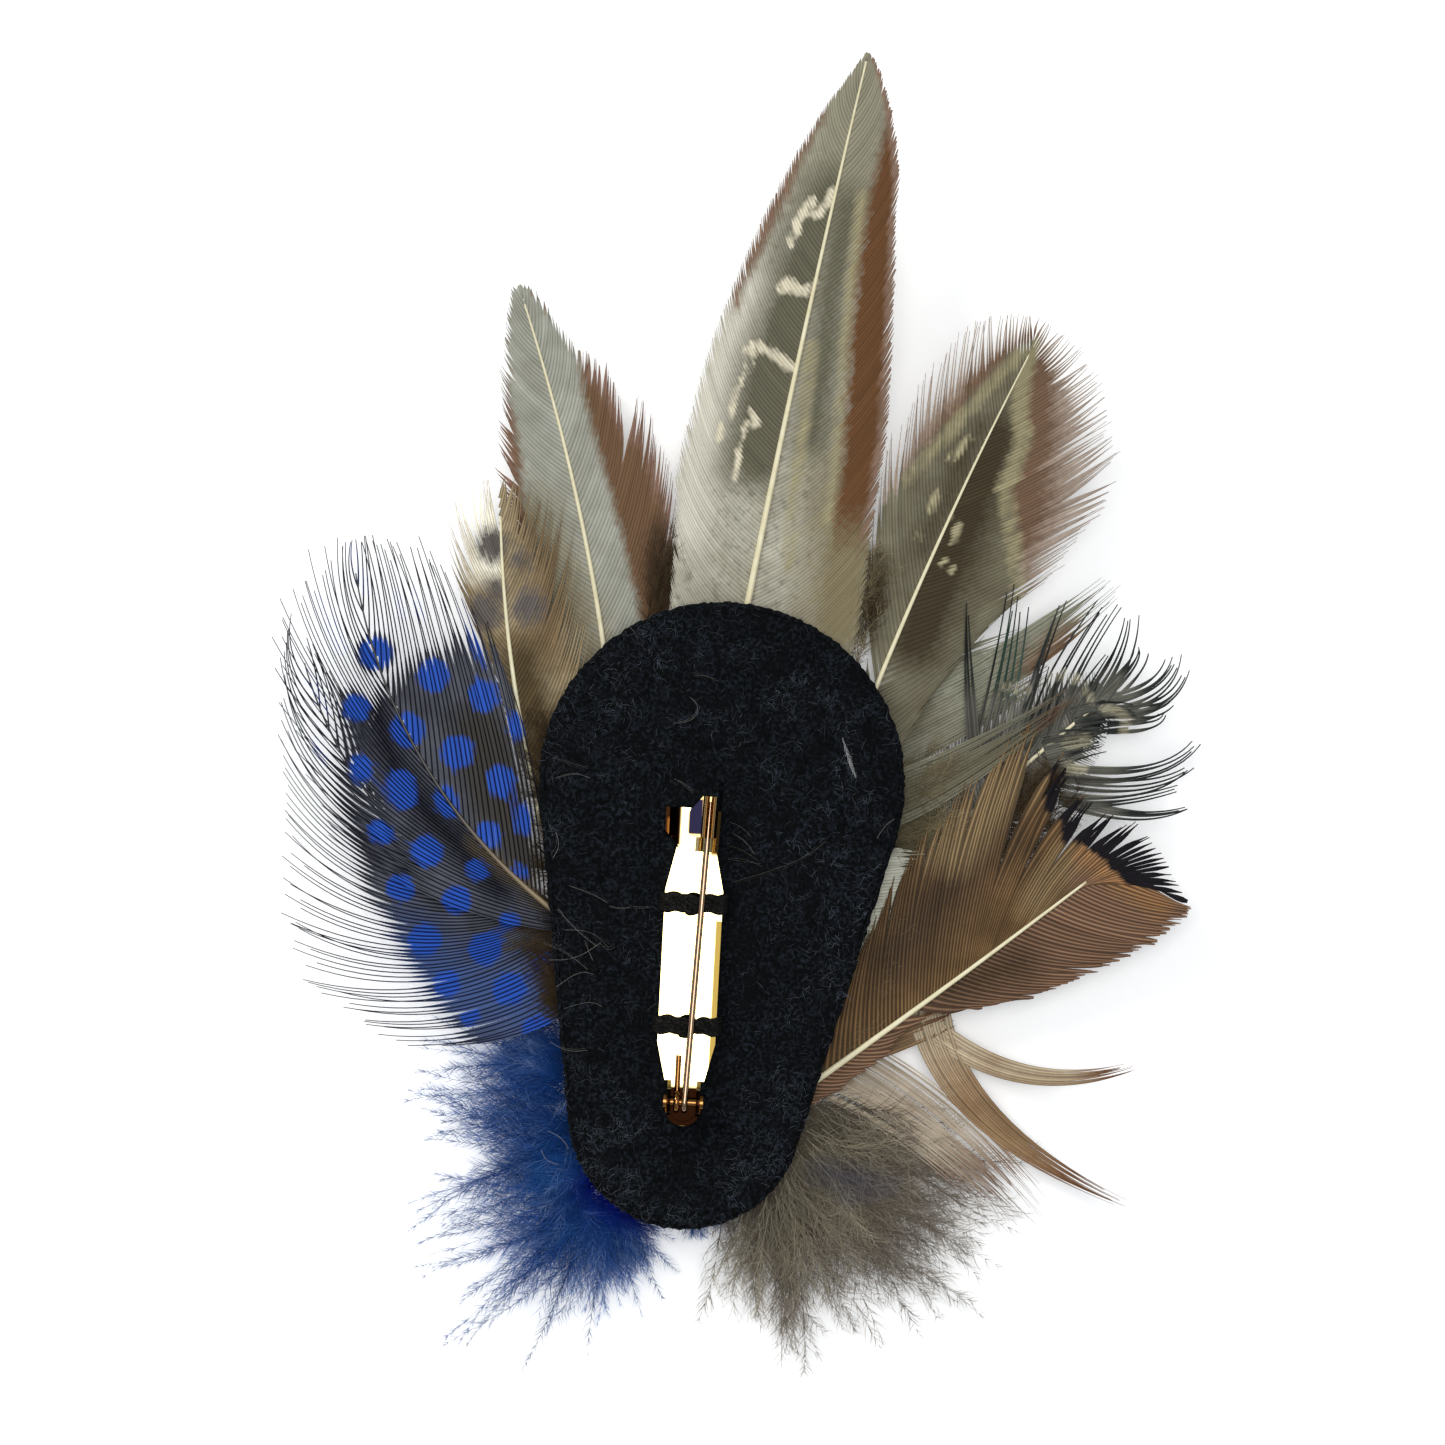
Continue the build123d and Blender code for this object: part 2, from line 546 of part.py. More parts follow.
with BuildPart() as hinge_rivet:
    with BuildSketch(across_plane(0, 0, RIVET_RISE)):
        Circle(RIVET_R)
    extrude(amount=EAR_OUT + SEAT_GAP, both=True)
    for side in (-1, 1):
        with BuildSketch(across_plane(side * (EAR_OUT + SEAT_GAP + RIVET_HEAD_THICK / 2), 0, RIVET_RISE)):
            Circle(RIVET_HEAD_R)
        extrude(amount=RIVET_HEAD_THICK / 2, both=True)
hinge_rivet.part.label = "hinge_rivet"
export_step(hinge_rivet.part, "parts/hinge_rivet.step")


def coil_turn(across):
    """One round turn of the spring wire about the rivet."""
    with BuildSketch(Plane(
        origin=pin_point(across, 0, RIVET_RISE), x_dir=pin_top.x_dir, z_dir=pin_top.y_dir
    )) as wire:
        with Locations((0, COIL_R)):
            Circle(WIRE_R)
    revolve(wire.sketch, axis=Axis(pin_point(across, 0, RIVET_RISE), pin_top.x_dir))


with BuildPart() as spring_leg:
    coil_turn(NEEDLE_ACROSS - COIL_PITCH)
    with BuildSketch(Plane(
        origin=pin_point(NEEDLE_ACROSS - COIL_PITCH, 0, RIVET_RISE - COIL_R),
        x_dir=pin_top.x_dir, z_dir=pin_top.y_dir,
    )):
        Circle(LEG_R)
    extrude(amount=LEG_REACH)
spring_leg.part.label = "spring_leg"
export_step(spring_leg.part, "parts/spring_leg.step")

taper_start = cradle_distance - SEAT_GAP
with BuildPart() as pin_needle:
    coil_turn(NEEDLE_ACROSS)
    for start, end, start_r, end_r in (
        (0, NECK_LENGTH, NECK_R, WIRE_R),
        (taper_start, taper_start + TAPER_LENGTH, WIRE_R, NEEDLE_TIP_R),
    ):
        with BuildSketch(needle_plane(start)):
            Circle(start_r)
        with BuildSketch(needle_plane(end)):
            Circle(end_r)
        loft()
    with BuildSketch(needle_plane(NECK_LENGTH)):
        Circle(WIRE_R)
    extrude(amount=taper_start - NECK_LENGTH)
pin_needle.part.label = "pin_needle"
export_step(pin_needle.part, "parts/pin_needle.step")

with BuildPart() as catch_barrel:
    with BuildSketch(needle_plane(barrel_distance)):
        Circle(BARREL_R)
        with Locations((TAB_REACH / 2, 0)):
            Rectangle(TAB_REACH, TAB_THICK)
        Circle(BARREL_R - BARREL_WALL, mode=Mode.SUBTRACT)
        with Locations((0, BARREL_R / 2)):
            Rectangle(BARREL_SLOT, BARREL_R + BARREL_WALL, mode=Mode.SUBTRACT)
    extrude(amount=BARREL_LENGTH)
    # the finger tab's far corner is cut on a slant and its near corner is rounded off
    mouth = needle_plane(barrel_distance)
    with BuildSketch(Plane(origin=mouth.origin, x_dir=mouth.x_dir, z_dir=mouth.y_dir)):
        with BuildLine():
            Polyline(
                (BARREL_R, -BARREL_LENGTH), (TAB_REACH, TAB_SLANT - BARREL_LENGTH),
                (TAB_REACH + TAB_CORNER, TAB_SLANT - BARREL_LENGTH), (TAB_REACH + TAB_CORNER, -BARREL_LENGTH),
                close=True,
            )
        make_face()
        with BuildLine():
            Polyline(
                (TAB_REACH - TAB_CORNER, 0), (TAB_REACH + TAB_CORNER, 0),
                (TAB_REACH + TAB_CORNER, -TAB_CORNER), (TAB_REACH, -TAB_CORNER), close=True,
            )
        make_face()
    extrude(amount=TAB_THICK, both=True, mode=Mode.SUBTRACT)
catch_barrel.part.label = "catch_barrel"
export_step(catch_barrel.part, "parts/catch_barrel.step")

print("rivet", [round(v, 4) for v in pin_point(0, 0, RIVET_RISE)], "axis", tuple(pin_top.x_dir))
print("barrel", [round(v, 4) for v in barrel_mouth + needle_way * BARREL_LENGTH / 2], tuple(needle_way))
print("needle wall", NECK_LENGTH, taper_start, [round(v, 4) for v in needle_root])
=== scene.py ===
import math

import bpy
import numpy as np
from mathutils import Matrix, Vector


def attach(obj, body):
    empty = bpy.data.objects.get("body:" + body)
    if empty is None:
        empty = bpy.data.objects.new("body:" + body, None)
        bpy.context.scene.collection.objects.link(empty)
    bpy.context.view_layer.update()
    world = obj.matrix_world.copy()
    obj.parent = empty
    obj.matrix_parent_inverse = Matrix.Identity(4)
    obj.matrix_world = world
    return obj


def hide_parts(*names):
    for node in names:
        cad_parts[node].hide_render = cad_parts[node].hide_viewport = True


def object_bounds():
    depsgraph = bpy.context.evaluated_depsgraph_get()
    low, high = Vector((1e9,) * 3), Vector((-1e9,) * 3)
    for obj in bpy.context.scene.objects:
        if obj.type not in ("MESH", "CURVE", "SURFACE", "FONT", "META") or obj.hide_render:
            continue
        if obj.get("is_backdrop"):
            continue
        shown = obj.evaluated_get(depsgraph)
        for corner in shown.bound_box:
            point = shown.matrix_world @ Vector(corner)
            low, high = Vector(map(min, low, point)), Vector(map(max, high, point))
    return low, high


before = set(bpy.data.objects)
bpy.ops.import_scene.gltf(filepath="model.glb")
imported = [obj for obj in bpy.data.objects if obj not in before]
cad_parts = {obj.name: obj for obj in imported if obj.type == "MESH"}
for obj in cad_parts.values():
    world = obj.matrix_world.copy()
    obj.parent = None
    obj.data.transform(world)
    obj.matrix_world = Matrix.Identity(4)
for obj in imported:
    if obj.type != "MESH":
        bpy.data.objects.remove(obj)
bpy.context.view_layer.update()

# The studio: a plain white table under the plume, one wide soft light overhead that the polished
# pin mirrors, a softer one from the upper left, and a camera that looks straight down.
MM = 0.001
VIEW_WIDTH = 153.7 * MM
VIEW_MIDDLE = (-1.54 * MM, 0.64 * MM)
SHARP_HEIGHT = 8 * MM
LENS, SENSOR = 135.0, 36.0

scene = bpy.context.scene
scene.view_settings.view_transform = "Standard"
scene.view_settings.look = "None"

camera_data = bpy.data.cameras.new("camera")
camera_data.lens = LENS
camera_data.sensor_width = SENSOR
camera_data.clip_start = 0.01
camera = bpy.data.objects.new("camera", camera_data)
camera.location = (*VIEW_MIDDLE, SHARP_HEIGHT + VIEW_WIDTH / SENSOR * LENS)
scene.collection.objects.link(camera)
scene.camera = camera


def soft_light(name, place, size, watts, colour):
    """A square lamp that faces the plume."""
    data = bpy.data.lights.new(name, "AREA")
    data.size = size
    data.energy = watts
    data.color = colour
    lamp = bpy.data.objects.new(name, data)
    lamp.location = place
    away = -lamp.location
    lamp.rotation_mode = "QUATERNION"
    lamp.rotation_quaternion = away.to_track_quat("-Z", "Y")
    scene.collection.objects.link(lamp)


soft_light("overhead light", (0.05, 0.06, 0.95), 0.55, 5.2, (1.0, 0.99, 0.97))
soft_light("side light", (-0.55, 0.5, 0.55), 0.3, 3.6, (1.0, 0.98, 0.95))

world = bpy.data.worlds.new("room")
scene.world = world
world.use_nodes = True
room = world.node_tree
room_light = room.nodes["Background"]
room_light.inputs["Color"].default_value = (0.9, 0.95, 1.0, 1)
room_light.inputs["Strength"].default_value = 0.40
room_wall = room.nodes.new("ShaderNodeBackground")
room_wall.inputs["Color"].default_value = (0.93, 0.94, 0.95, 1)
room_path = room.nodes.new("ShaderNodeLightPath")
room_mix = room.nodes.new("ShaderNodeMixShader")
room.links.new(room_path.outputs["Is Camera Ray"], room_mix.inputs[0])
room.links.new(room_light.outputs[0], room_mix.inputs[1])
room.links.new(room_wall.outputs[0], room_mix.inputs[2])
room.links.new(room_mix.outputs[0], room.nodes["World Output"].inputs["Surface"])


def put_mesh(name, points, faces, marks, material, smooth=False):
    """A mesh of points in millimetres, rows of face corners, and one value a point for each mark."""
    corners = np.concatenate([rows.ravel() for rows in faces]).astype(np.int32)
    sizes = np.concatenate([np.full(len(rows), rows.shape[1]) for rows in faces])
    starts = np.concatenate(([0], np.cumsum(sizes)[:-1])).astype(np.int32)
    mesh = bpy.data.meshes.new(name)
    mesh.vertices.add(len(points))
    mesh.vertices.foreach_set("co", (points * MM).astype(np.float32).ravel())
    mesh.loops.add(len(corners))
    mesh.loops.foreach_set("vertex_index", corners)
    mesh.polygons.add(len(sizes))
    mesh.polygons.foreach_set("loop_start", starts)
    mesh.polygons.foreach_set("use_smooth", np.full(len(sizes), smooth))
    for mark, values in (marks or {}).items():
        layer = mesh.attributes.new(mark, "FLOAT", "POINT")
        layer.data.foreach_set("value", values.astype(np.float32).ravel())
    mesh.update(calc_edges=True)
    mesh.validate()
    mesh.materials.append(material)
    made = bpy.data.objects.new(name, mesh)
    scene.collection.objects.link(made)
    return made


def fresh_material(name, rough, shine=0.5):
    """A material of this roughness and gloss, its node tree and its surface shader."""
    made = bpy.data.materials.new(name)
    made.use_nodes = True
    shader = made.node_tree.nodes["Principled BSDF"]
    shader.inputs["Roughness"].default_value = rough
    shader.inputs["Specular IOR Level"].default_value = shine
    return made, made.node_tree, shader


TABLE_GLOW, TABLE_HALF, TABLE_DROP, TABLE_LINES = 0.22, 4000, 0.05, 9
table_white, tree, shader = fresh_material("white table top", 0.9, 0.1)
shader.inputs["Emission Color"].default_value = (0.95, 0.97, 1.0, 1)
shader.inputs["Emission Strength"].default_value = TABLE_GLOW
grain = tree.nodes.new("ShaderNodeTexNoise")
grain.inputs["Scale"].default_value = 900
shade = tree.nodes.new("ShaderNodeValToRGB")
shade.color_ramp.elements[0].color = (0.90, 0.90, 0.90, 1)
shade.color_ramp.elements[1].color = (0.93, 0.93, 0.93, 1)
spot = tree.nodes.new("ShaderNodeTexCoord")
tree.links.new(spot.outputs["Object"], grain.inputs["Vector"])
tree.links.new(grain.outputs["Fac"], shade.inputs["Fac"])
tree.links.new(shade.outputs["Color"], shader.inputs["Base Color"])
lines = np.linspace(-TABLE_HALF, TABLE_HALF, TABLE_LINES)
grid_x, grid_y = np.meshgrid(lines, lines)
corner = np.arange(grid_x.size).reshape(grid_x.shape)
table_faces = np.stack([corner[:-1, :-1], corner[:-1, 1:], corner[1:, 1:], corner[1:, :-1]], -1)
table_points = np.stack([grid_x, grid_y, 0 * grid_x - TABLE_DROP], -1).reshape(-1, 3)
put_mesh("table_top", table_points, [table_faces.reshape(-1, 4)], None, table_white)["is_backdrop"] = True


# The tallest feather: a grey pheasant vane with pale blotches and rufous margins. Its barbs are
# combed out from the quill one by one, and zipped together by webs that end before the margin.
HEAD_X, HEAD_Y, HEAD_R = -1.6, -6.0, 19.5
TAIL_X, TAIL_Y, TAIL_R = -5.5, -40.8, 12.55
LAYERS = (3.0, 4.05, 5.1)
VANE_THICK, WEB_TILT = 0.5, 0.03
ROW_STEPS, QUILL_STEPS, QUILL_SIDES = 600, 60, 14
MIDDLE_X, MIDDLE_Y, FLAT_RADIUS, DISH_RADIUS = -3.55, -23.4, 36.0, 450.0


def dish(x, y):
    """Height gained outwards: flat about the felt's middle, then part of a wide sphere."""
    out = np.maximum(np.hypot(x - MIDDLE_X, y - MIDDLE_Y), FLAT_RADIUS)
    return math.sqrt(DISH_RADIUS**2 - FLAT_RADIUS**2) - np.sqrt(DISH_RADIUS**2 - out**2)


def felt_point(across, down):
    """A point under the felt: shares of the head's radius and of the drop to the tail."""
    return HEAD_X + across * HEAD_R, HEAD_Y - down * (HEAD_Y - TAIL_Y)


def quill_point(quill, share):
    """Points at shares of a quill, an arc that turns evenly from root to tip."""
    (x, y), heading, length, turn = quill
    way = np.radians(heading + turn * share)
    start = math.radians(heading)
    bend = length / math.radians(turn)
    return x + bend * (np.sin(way) - math.sin(start)), y - bend * (np.cos(way) - math.cos(start))


def hair(paths, across, above):
    """Carries a section along many paths at once: paths (n, k, 3), across and above (n, k, c) are
    the section's offsets to the side and upwards. Both ends are closed."""
    way = np.gradient(paths, axis=1)
    way /= np.linalg.norm(way, axis=2, keepdims=True) + 1e-9
    side = np.cross(way, (0, 0, 1.0))
    side /= np.linalg.norm(side, axis=2, keepdims=True) + 1e-9
    up = np.cross(side, way)
    points = paths[:, :, None] + side[:, :, None] * across[..., None] + up[:, :, None] * above[..., None]
    index = np.arange(across.size).reshape(across.shape)
    near, far = index[:, :-1], index[:, 1:]
    walls = np.stack([near, np.roll(near, -1, 2), np.roll(far, -1, 2), far], -1).reshape(-1, 4)
    return points.reshape(-1, 3), [walls, index[:, 0, ::-1], index[:, -1]]


def to_line(x, y, line):
    """Millimetres to a line of points, and 1 where it lies to the left of its own way, -1 where it
    lies to the right, from the nearest of its straight runs."""
    nearest, sign = np.full(x.shape, 1e9), np.ones(x.shape)
    for (ax, ay), (bx, by) in zip(line, line[1:]):
        reach = (bx - ax) ** 2 + (by - ay) ** 2 + 1e-9
        share = np.clip(((x - ax) * (bx - ax) + (y - ay) * (by - ay)) / reach, 0, 1)
        gap = np.hypot(x - ax - share * (bx - ax), y - ay - share * (by - ay))
        turn = (bx - ax) * (y - ay) - (by - ay) * (x - ax)
        closer = gap < nearest
        nearest, sign = np.where(closer, gap, nearest), np.where(closer, -np.sign(turn), sign)
    return nearest, sign


def near_line(x, y, line, half):
    """Millimetres inside a band that follows a line of points, half its width to each side."""
    return half - to_line(x, y, line)[0]


def in_bands(x, y, bands):
    """Millimetres inside the nearest of many bands, each a line of points and half its width."""
    return np.max([near_line(x, y, line, half) for line, half in bands], 0)


def beyond_line(x, y, line):
    """Millimetres to the right of a line of points that is followed from its first to its last."""
    nearest, sign = to_line(x, y, line)
    return nearest * sign


def waver(rng, count, smooth):
    """Random values along a row, smoothed over so many neighbours, spread about zero."""
    raw = rng.normal(size=count + 6 * smooth)
    bell = np.exp(-np.linspace(-2, 2, 2 * smooth + 1) ** 2)
    soft = np.convolve(raw, bell / np.sqrt((bell**2).sum()), "same")
    return soft[3 * smooth : 3 * smooth + count, None]


def eased(values, span):
    """Values along a row, each the mean of so many neighbours to both sides."""
    padded = np.pad(values, span, mode="edge")
    return np.convolve(padded, np.ones(2 * span + 1) / (2 * span + 1), "same")[span:-span]


def bent(ax, ay, cx, cy, bx, by, u):
    """A quadratic curve from a to b that leans towards c: its points and headings at shares u."""
    x = (1 - u) ** 2 * ax + 2 * u * (1 - u) * cx + u * u * bx
    y = (1 - u) ** 2 * ay + 2 * u * (1 - u) * cy + u * u * by
    dx, dy = (1 - u) * (cx - ax) + u * (bx - cx), (1 - u) * (cy - ay) + u * (by - cy)
    size = np.hypot(dx, dy) + 1e-6
    return x, y, dx / size, dy / size


def comb_side(rng, quill, z, side, rows, look):
    """Paths of one side's barbs. The rows say where barbs end: a share of the quill, where a barb
    leaves it, and the x and y of its tip; between two rows the tips run straight. A quadratic
    curve bows each barb outwards, less and less towards the quill's tip. Barbs stand evenly at six
    tenths of their length. Across itself a barb shifts to the middle of its lock, away from a
    split, and by a little of its own, all growing towards the tip."""
    side_name = "left" if side > 0 else "right"
    rows = np.array(rows)
    fine = np.linspace(rows[0, 0], rows[-1, 0], ROW_STEPS)
    tips = [eased(np.interp(fine, rows[:, 0], rows[:, column]), look["ease"]) for column in (1, 2)]
    swell = side * math.tan(math.radians(look.get(side_name + "_bow", look["bow"]))) / 2

    def curve(share, u):
        """Points and headings of the bowed barbs of these shares, at so much of their length."""
        ax, ay = quill_point(quill, share)
        bx, by = np.interp(share, fine, tips[0]), np.interp(share, fine, tips[1])
        bow = swell * np.clip((1.01 - share) / 0.12, 0, 1)
        cx, cy = (ax + bx) / 2 - bow * (by - ay), (ay + by) / 2 + bow * (bx - ax)
        return bent(ax, ay, cx, cy, bx, by, u)

    x, y, dx, dy = curve(fine, 0.6)
    room = np.concatenate(([0], np.cumsum(abs(dx[1:] * np.diff(y) - dy[1:] * np.diff(x)) + 0.004)))
    count = int(room[-1] / look["spacing"])
    each = (count, 1)
    share = np.interp(np.linspace(0, room[-1], count), room, fine)[:, None]
    u = np.linspace(0, 1, look["steps"] + 1)[None, :] * (1 + rng.normal(size=each) * look["uneven"])
    x, y, dx, dy = curve(share, u)
    gap = abs(dx * np.gradient(y, axis=0) - dy * np.gradient(x, axis=0))
    order = np.arange(count, dtype=float)
    lock = np.searchsorted(np.cumsum(rng.integers(*look["locks"], size=count)), order, side="right")
    middle = np.zeros(count)
    for number in np.unique(lock):
        middle[lock == number] = order[lock == number].mean() + rng.normal() * look["stray"]
    shift = look["clump"] * u ** look["clump_power"] * (middle - order)[:, None] * gap
    for place, depth, swing, spread in look.get(side_name + "_splits", ()):
        opening = np.clip((u - depth) / (1 - depth), 0, 1) ** 1.3
        shift = shift + swing * opening * np.sign(share - place) * np.exp(-abs(share - place) / spread)
    shift = shift + rng.normal(size=each) * look["fray"] * u**3
    shift = shift + waver(rng, count, 4) * look["fray"] * u**2
    x, y = x + side * dy * shift, y - side * dx * shift
    wave = waver(rng, count, 6) * 0.05 * u + rng.normal(size=each) * look["heave"] * u
    high = z + VANE_THICK * 0.45 + dish(x, y) + look["arch"] * np.sin(math.pi * np.clip(u, 0, 1)) + wave
    return np.stack([x, y, high], -1), u


def barbs(paths, u, web, tilt, look, tone, marks):
    """Barbs along paths, each a fine ridge with a flat web to either side that tilts a little:
    their points, their face rows, and the marks of every point."""
    zero = np.zeros_like(u)
    stem = look["stem"] * (1 - look["thin"] * np.clip(u, 0, 1) ** 2)
    web = np.maximum(web, stem * 0.3)
    across = np.stack([-stem - web, -stem, zero, stem, stem + web, zero], -1)
    above = np.stack([zero - tilt, zero, stem * 0.9, zero, zero + tilt, -stem * 0.9 - 0.02], -1)
    own = {mark: np.repeat(value + zero, 6) for mark, value in {"tone": tone, **marks}.items()}
    return *hair(paths, across, above), {**own, "ridge": np.tile([0, 1, 1, 1, 0, 1.0], u.size)}


def joined(parts):
    """Several sets of points, face rows and marks as one."""
    starts = np.cumsum([0] + [len(points) for points, _, _ in parts])
    faces = [ring + start for (_, rings, _), start in zip(parts, starts) for ring in rings]
    marks = {mark: np.concatenate([own[mark] for _, _, own in parts]) for mark in parts[0][2]}
    return np.concatenate([points for points, _, _ in parts]), faces, marks


def put_piece(name, points, faces, marks, material, slot, node=None, smooth=False):
    """A mesh that rides on the root body, and may stand for a node of the source, which it hides. The
    slot is not used.
    """
    made = put_mesh(name, points, faces, marks, material, smooth)
    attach(made, "root")
    if node:
        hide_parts(node)
    return made


def vane(name, seed, quill, layer, left, right, look, marking, material, slot, node=None):
    """A whole vane in one mesh. A barb's web is as wide as the way to its neighbour, thinner
    towards the edge, where the barbs come apart, and outside the membrane, where there is one."""
    rng = np.random.default_rng(seed)
    parts = []
    for side, side_name, rows in ((1, "left", left), (-1, "right", right)):
        paths, u = comb_side(rng, quill, LAYERS[layer], side, rows, look)
        each = (len(u), 1)
        forward = np.gradient(paths[..., :2], axis=1)
        forward /= np.linalg.norm(forward, axis=2, keepdims=True) + 1e-9
        beside = np.gradient(paths[..., :2], axis=0)
        gap = abs(forward[..., 0] * beside[..., 1] - forward[..., 1] * beside[..., 0])
        x, y = paths[..., 0], paths[..., 1]
        web_end = look.get(side_name + "_web_end", look["web_end"])
        web = np.clip(gap * 0.58, 0.02, look["web"])
        web = web * np.clip((web_end - u) / look["web_fade"] + rng.normal(size=each) * 0.2, 0, 1)
        if "membrane" in look:
            firm = look["membrane"](x, y) / 3.0 + 0.5 + rng.normal(size=each) * 0.1
            web = web * np.clip(firm, look.get("web_low", 0.0), 1)
        tone = rng.normal(size=each)
        parts.append(barbs(paths, u, web, side * WEB_TILT, look, tone, marking(x, y, u, side)))
    put_piece(name + "_barbs", *joined(parts), material, slot, node)


def quill_shaft(name, quill, layer, wide, narrow, end, material, slot, start=0.0):
    """The shaft of a feather: an oval that tapers from root to tip along the quill's arc, with a
    groove down its back."""
    share = np.linspace(start, end, QUILL_STEPS)
    x, y = quill_point(quill, share)
    half = (wide + (narrow - wide) * np.clip(share, 0, 1) ** 0.8) / 2
    z = LAYERS[layer] + VANE_THICK * 0.5 + dish(x, y) + half * 0.35
    turn = np.linspace(0, 2 * math.pi, QUILL_SIDES, endpoint=False)
    groove = 1 - 0.22 * np.exp(-((turn - math.pi / 2) / 0.35) ** 2)
    across = (half[:, None] * np.cos(turn) * groove)[None]
    above = (half[:, None] * 0.75 * np.sin(turn) * groove)[None]
    points, faces = hair(np.stack([x, y, z], -1)[None], across, above)
    marks = {"share": np.repeat(share, QUILL_SIDES)}
    put_piece(name + "_quill", points, faces, marks, material, slot, smooth=True)


def feed(tree, socket, value):
    """Gives a socket a number, a colour, or a link from another socket."""
    if isinstance(value, (int, float)):
        socket.default_value = value
    elif isinstance(value, tuple):
        socket.default_value = (*value, 1)
    else:
        tree.links.new(value, socket)


def link_math(tree, kind, *values, clamp=False):
    """A Math node fed with sockets or numbers."""
    node = tree.nodes.new("ShaderNodeMath")
    node.operation = kind
    node.use_clamp = clamp
    for socket, value in zip(node.inputs, values):
        feed(tree, socket, value)
    return node.outputs[0]


def link_mix(tree, share, low, high, blend="MIX"):
    """A colour mix fed with sockets or colours."""
    node = tree.nodes.new("ShaderNodeMix")
    node.data_type = "RGBA"
    node.blend_type = blend
    for place, value in ((0, share), (6, low), (7, high)):
        feed(tree, node.inputs[place], value)
    return node.outputs[2]


def mark_value(tree, name):
    """The value that a mesh keeps under this name."""
    node = tree.nodes.new("ShaderNodeAttribute")
    node.attribute_name = name
    return node.outputs["Fac"]


def paint(r, g, b):
    """A colour read as 0 to 255 on a screen, as the shader wants it."""
    return tuple(((c / 255 + 0.055) / 1.055) ** 2.4 if c > 10 else c / 255 / 12.92 for c in (r, g, b))


def fine_noise(tree, scale, detail=3.0):
    """Noise laid over the piece's own place, so many times a metre."""
    place = tree.nodes.new("ShaderNodeTexCoord")
    noise = tree.nodes.new("ShaderNodeTexNoise")
    noise.inputs["Scale"].default_value = scale
    noise.inputs["Detail"].default_value = detail
    tree.links.new(place.outputs["Object"], noise.inputs["Vector"])
    return noise.outputs["Fac"]


def new_group(name, colours, values):
    """An empty shared effect with these inputs, its inner sockets, and its one colour to be fed."""
    group = bpy.data.node_groups.new(name, "ShaderNodeTree")
    for kind, labels in (("NodeSocketColor", colours), ("NodeSocketFloat", values)):
        for label in labels:
            group.interface.new_socket(label, in_out="INPUT", socket_type=kind)
    group.interface.new_socket("Colour", in_out="OUTPUT", socket_type="NodeSocketColor")
    entry = group.nodes.new("NodeGroupInput").outputs
    return group, entry, group.nodes.new("NodeGroupOutput").inputs["Colour"]


def use_group(tree, group, **values):
    """A shared effect fed with sockets, colours or numbers, each under its input's name."""
    node = tree.nodes.new("ShaderNodeGroup")
    node.node_tree = group
    for label, value in values.items():
        feed(tree, node.inputs[label.replace("_", " ")], value)
    return node.outputs["Colour"]


# shared effect: a marking whose edge is ragged from barb to barb
marking_group, entry, leave = new_group(
    "feather marking", ("Below", "Marking"), ("Inside mm", "Soft mm", "Ragged mm", "Tone", "Noise"),
)
wobble = link_math(marking_group, "SUBTRACT", entry["Noise"], 0.5)
wobble = link_math(marking_group, "MULTIPLY", wobble, 3.0)
wobble = link_math(marking_group, "MULTIPLY_ADD", entry["Tone"], 0.35, wobble)
wobble = link_math(marking_group, "MULTIPLY_ADD", wobble, entry["Ragged mm"], entry["Inside mm"])
wobble = link_math(marking_group, "DIVIDE", wobble, entry["Soft mm"])
wobble = link_math(marking_group, "ADD", wobble, 0.5, clamp=True)
feed(marking_group, leave, link_mix(marking_group, wobble, entry["Below"], entry["Marking"]))

# shared effect: each barb's ridge stands out from its web, and no two barbs have quite one tone
barb_group, entry, leave = new_group(
    "barb lines", ("Colour", "Ridge colour"), ("Ridge", "Ridge share", "Tone", "Tone share"),
)
on_ridge = link_math(barb_group, "SUBTRACT", entry["Ridge"], 0.75)
on_ridge = link_math(barb_group, "MULTIPLY", on_ridge, 5.0, clamp=True)
on_ridge = link_math(barb_group, "MULTIPLY", on_ridge, entry["Ridge share"])
lined = link_mix(barb_group, on_ridge, entry["Colour"], entry["Ridge colour"])
tone = link_math(barb_group, "MULTIPLY_ADD", entry["Tone"], entry["Tone share"], 1.0)
tint = barb_group.nodes.new("ShaderNodeCombineColor")
for channel in tint.inputs:
    feed(barb_group, channel, tone)
feed(barb_group, leave, link_mix(barb_group, 1.0, lined, tint.outputs[0], "MULTIPLY"))


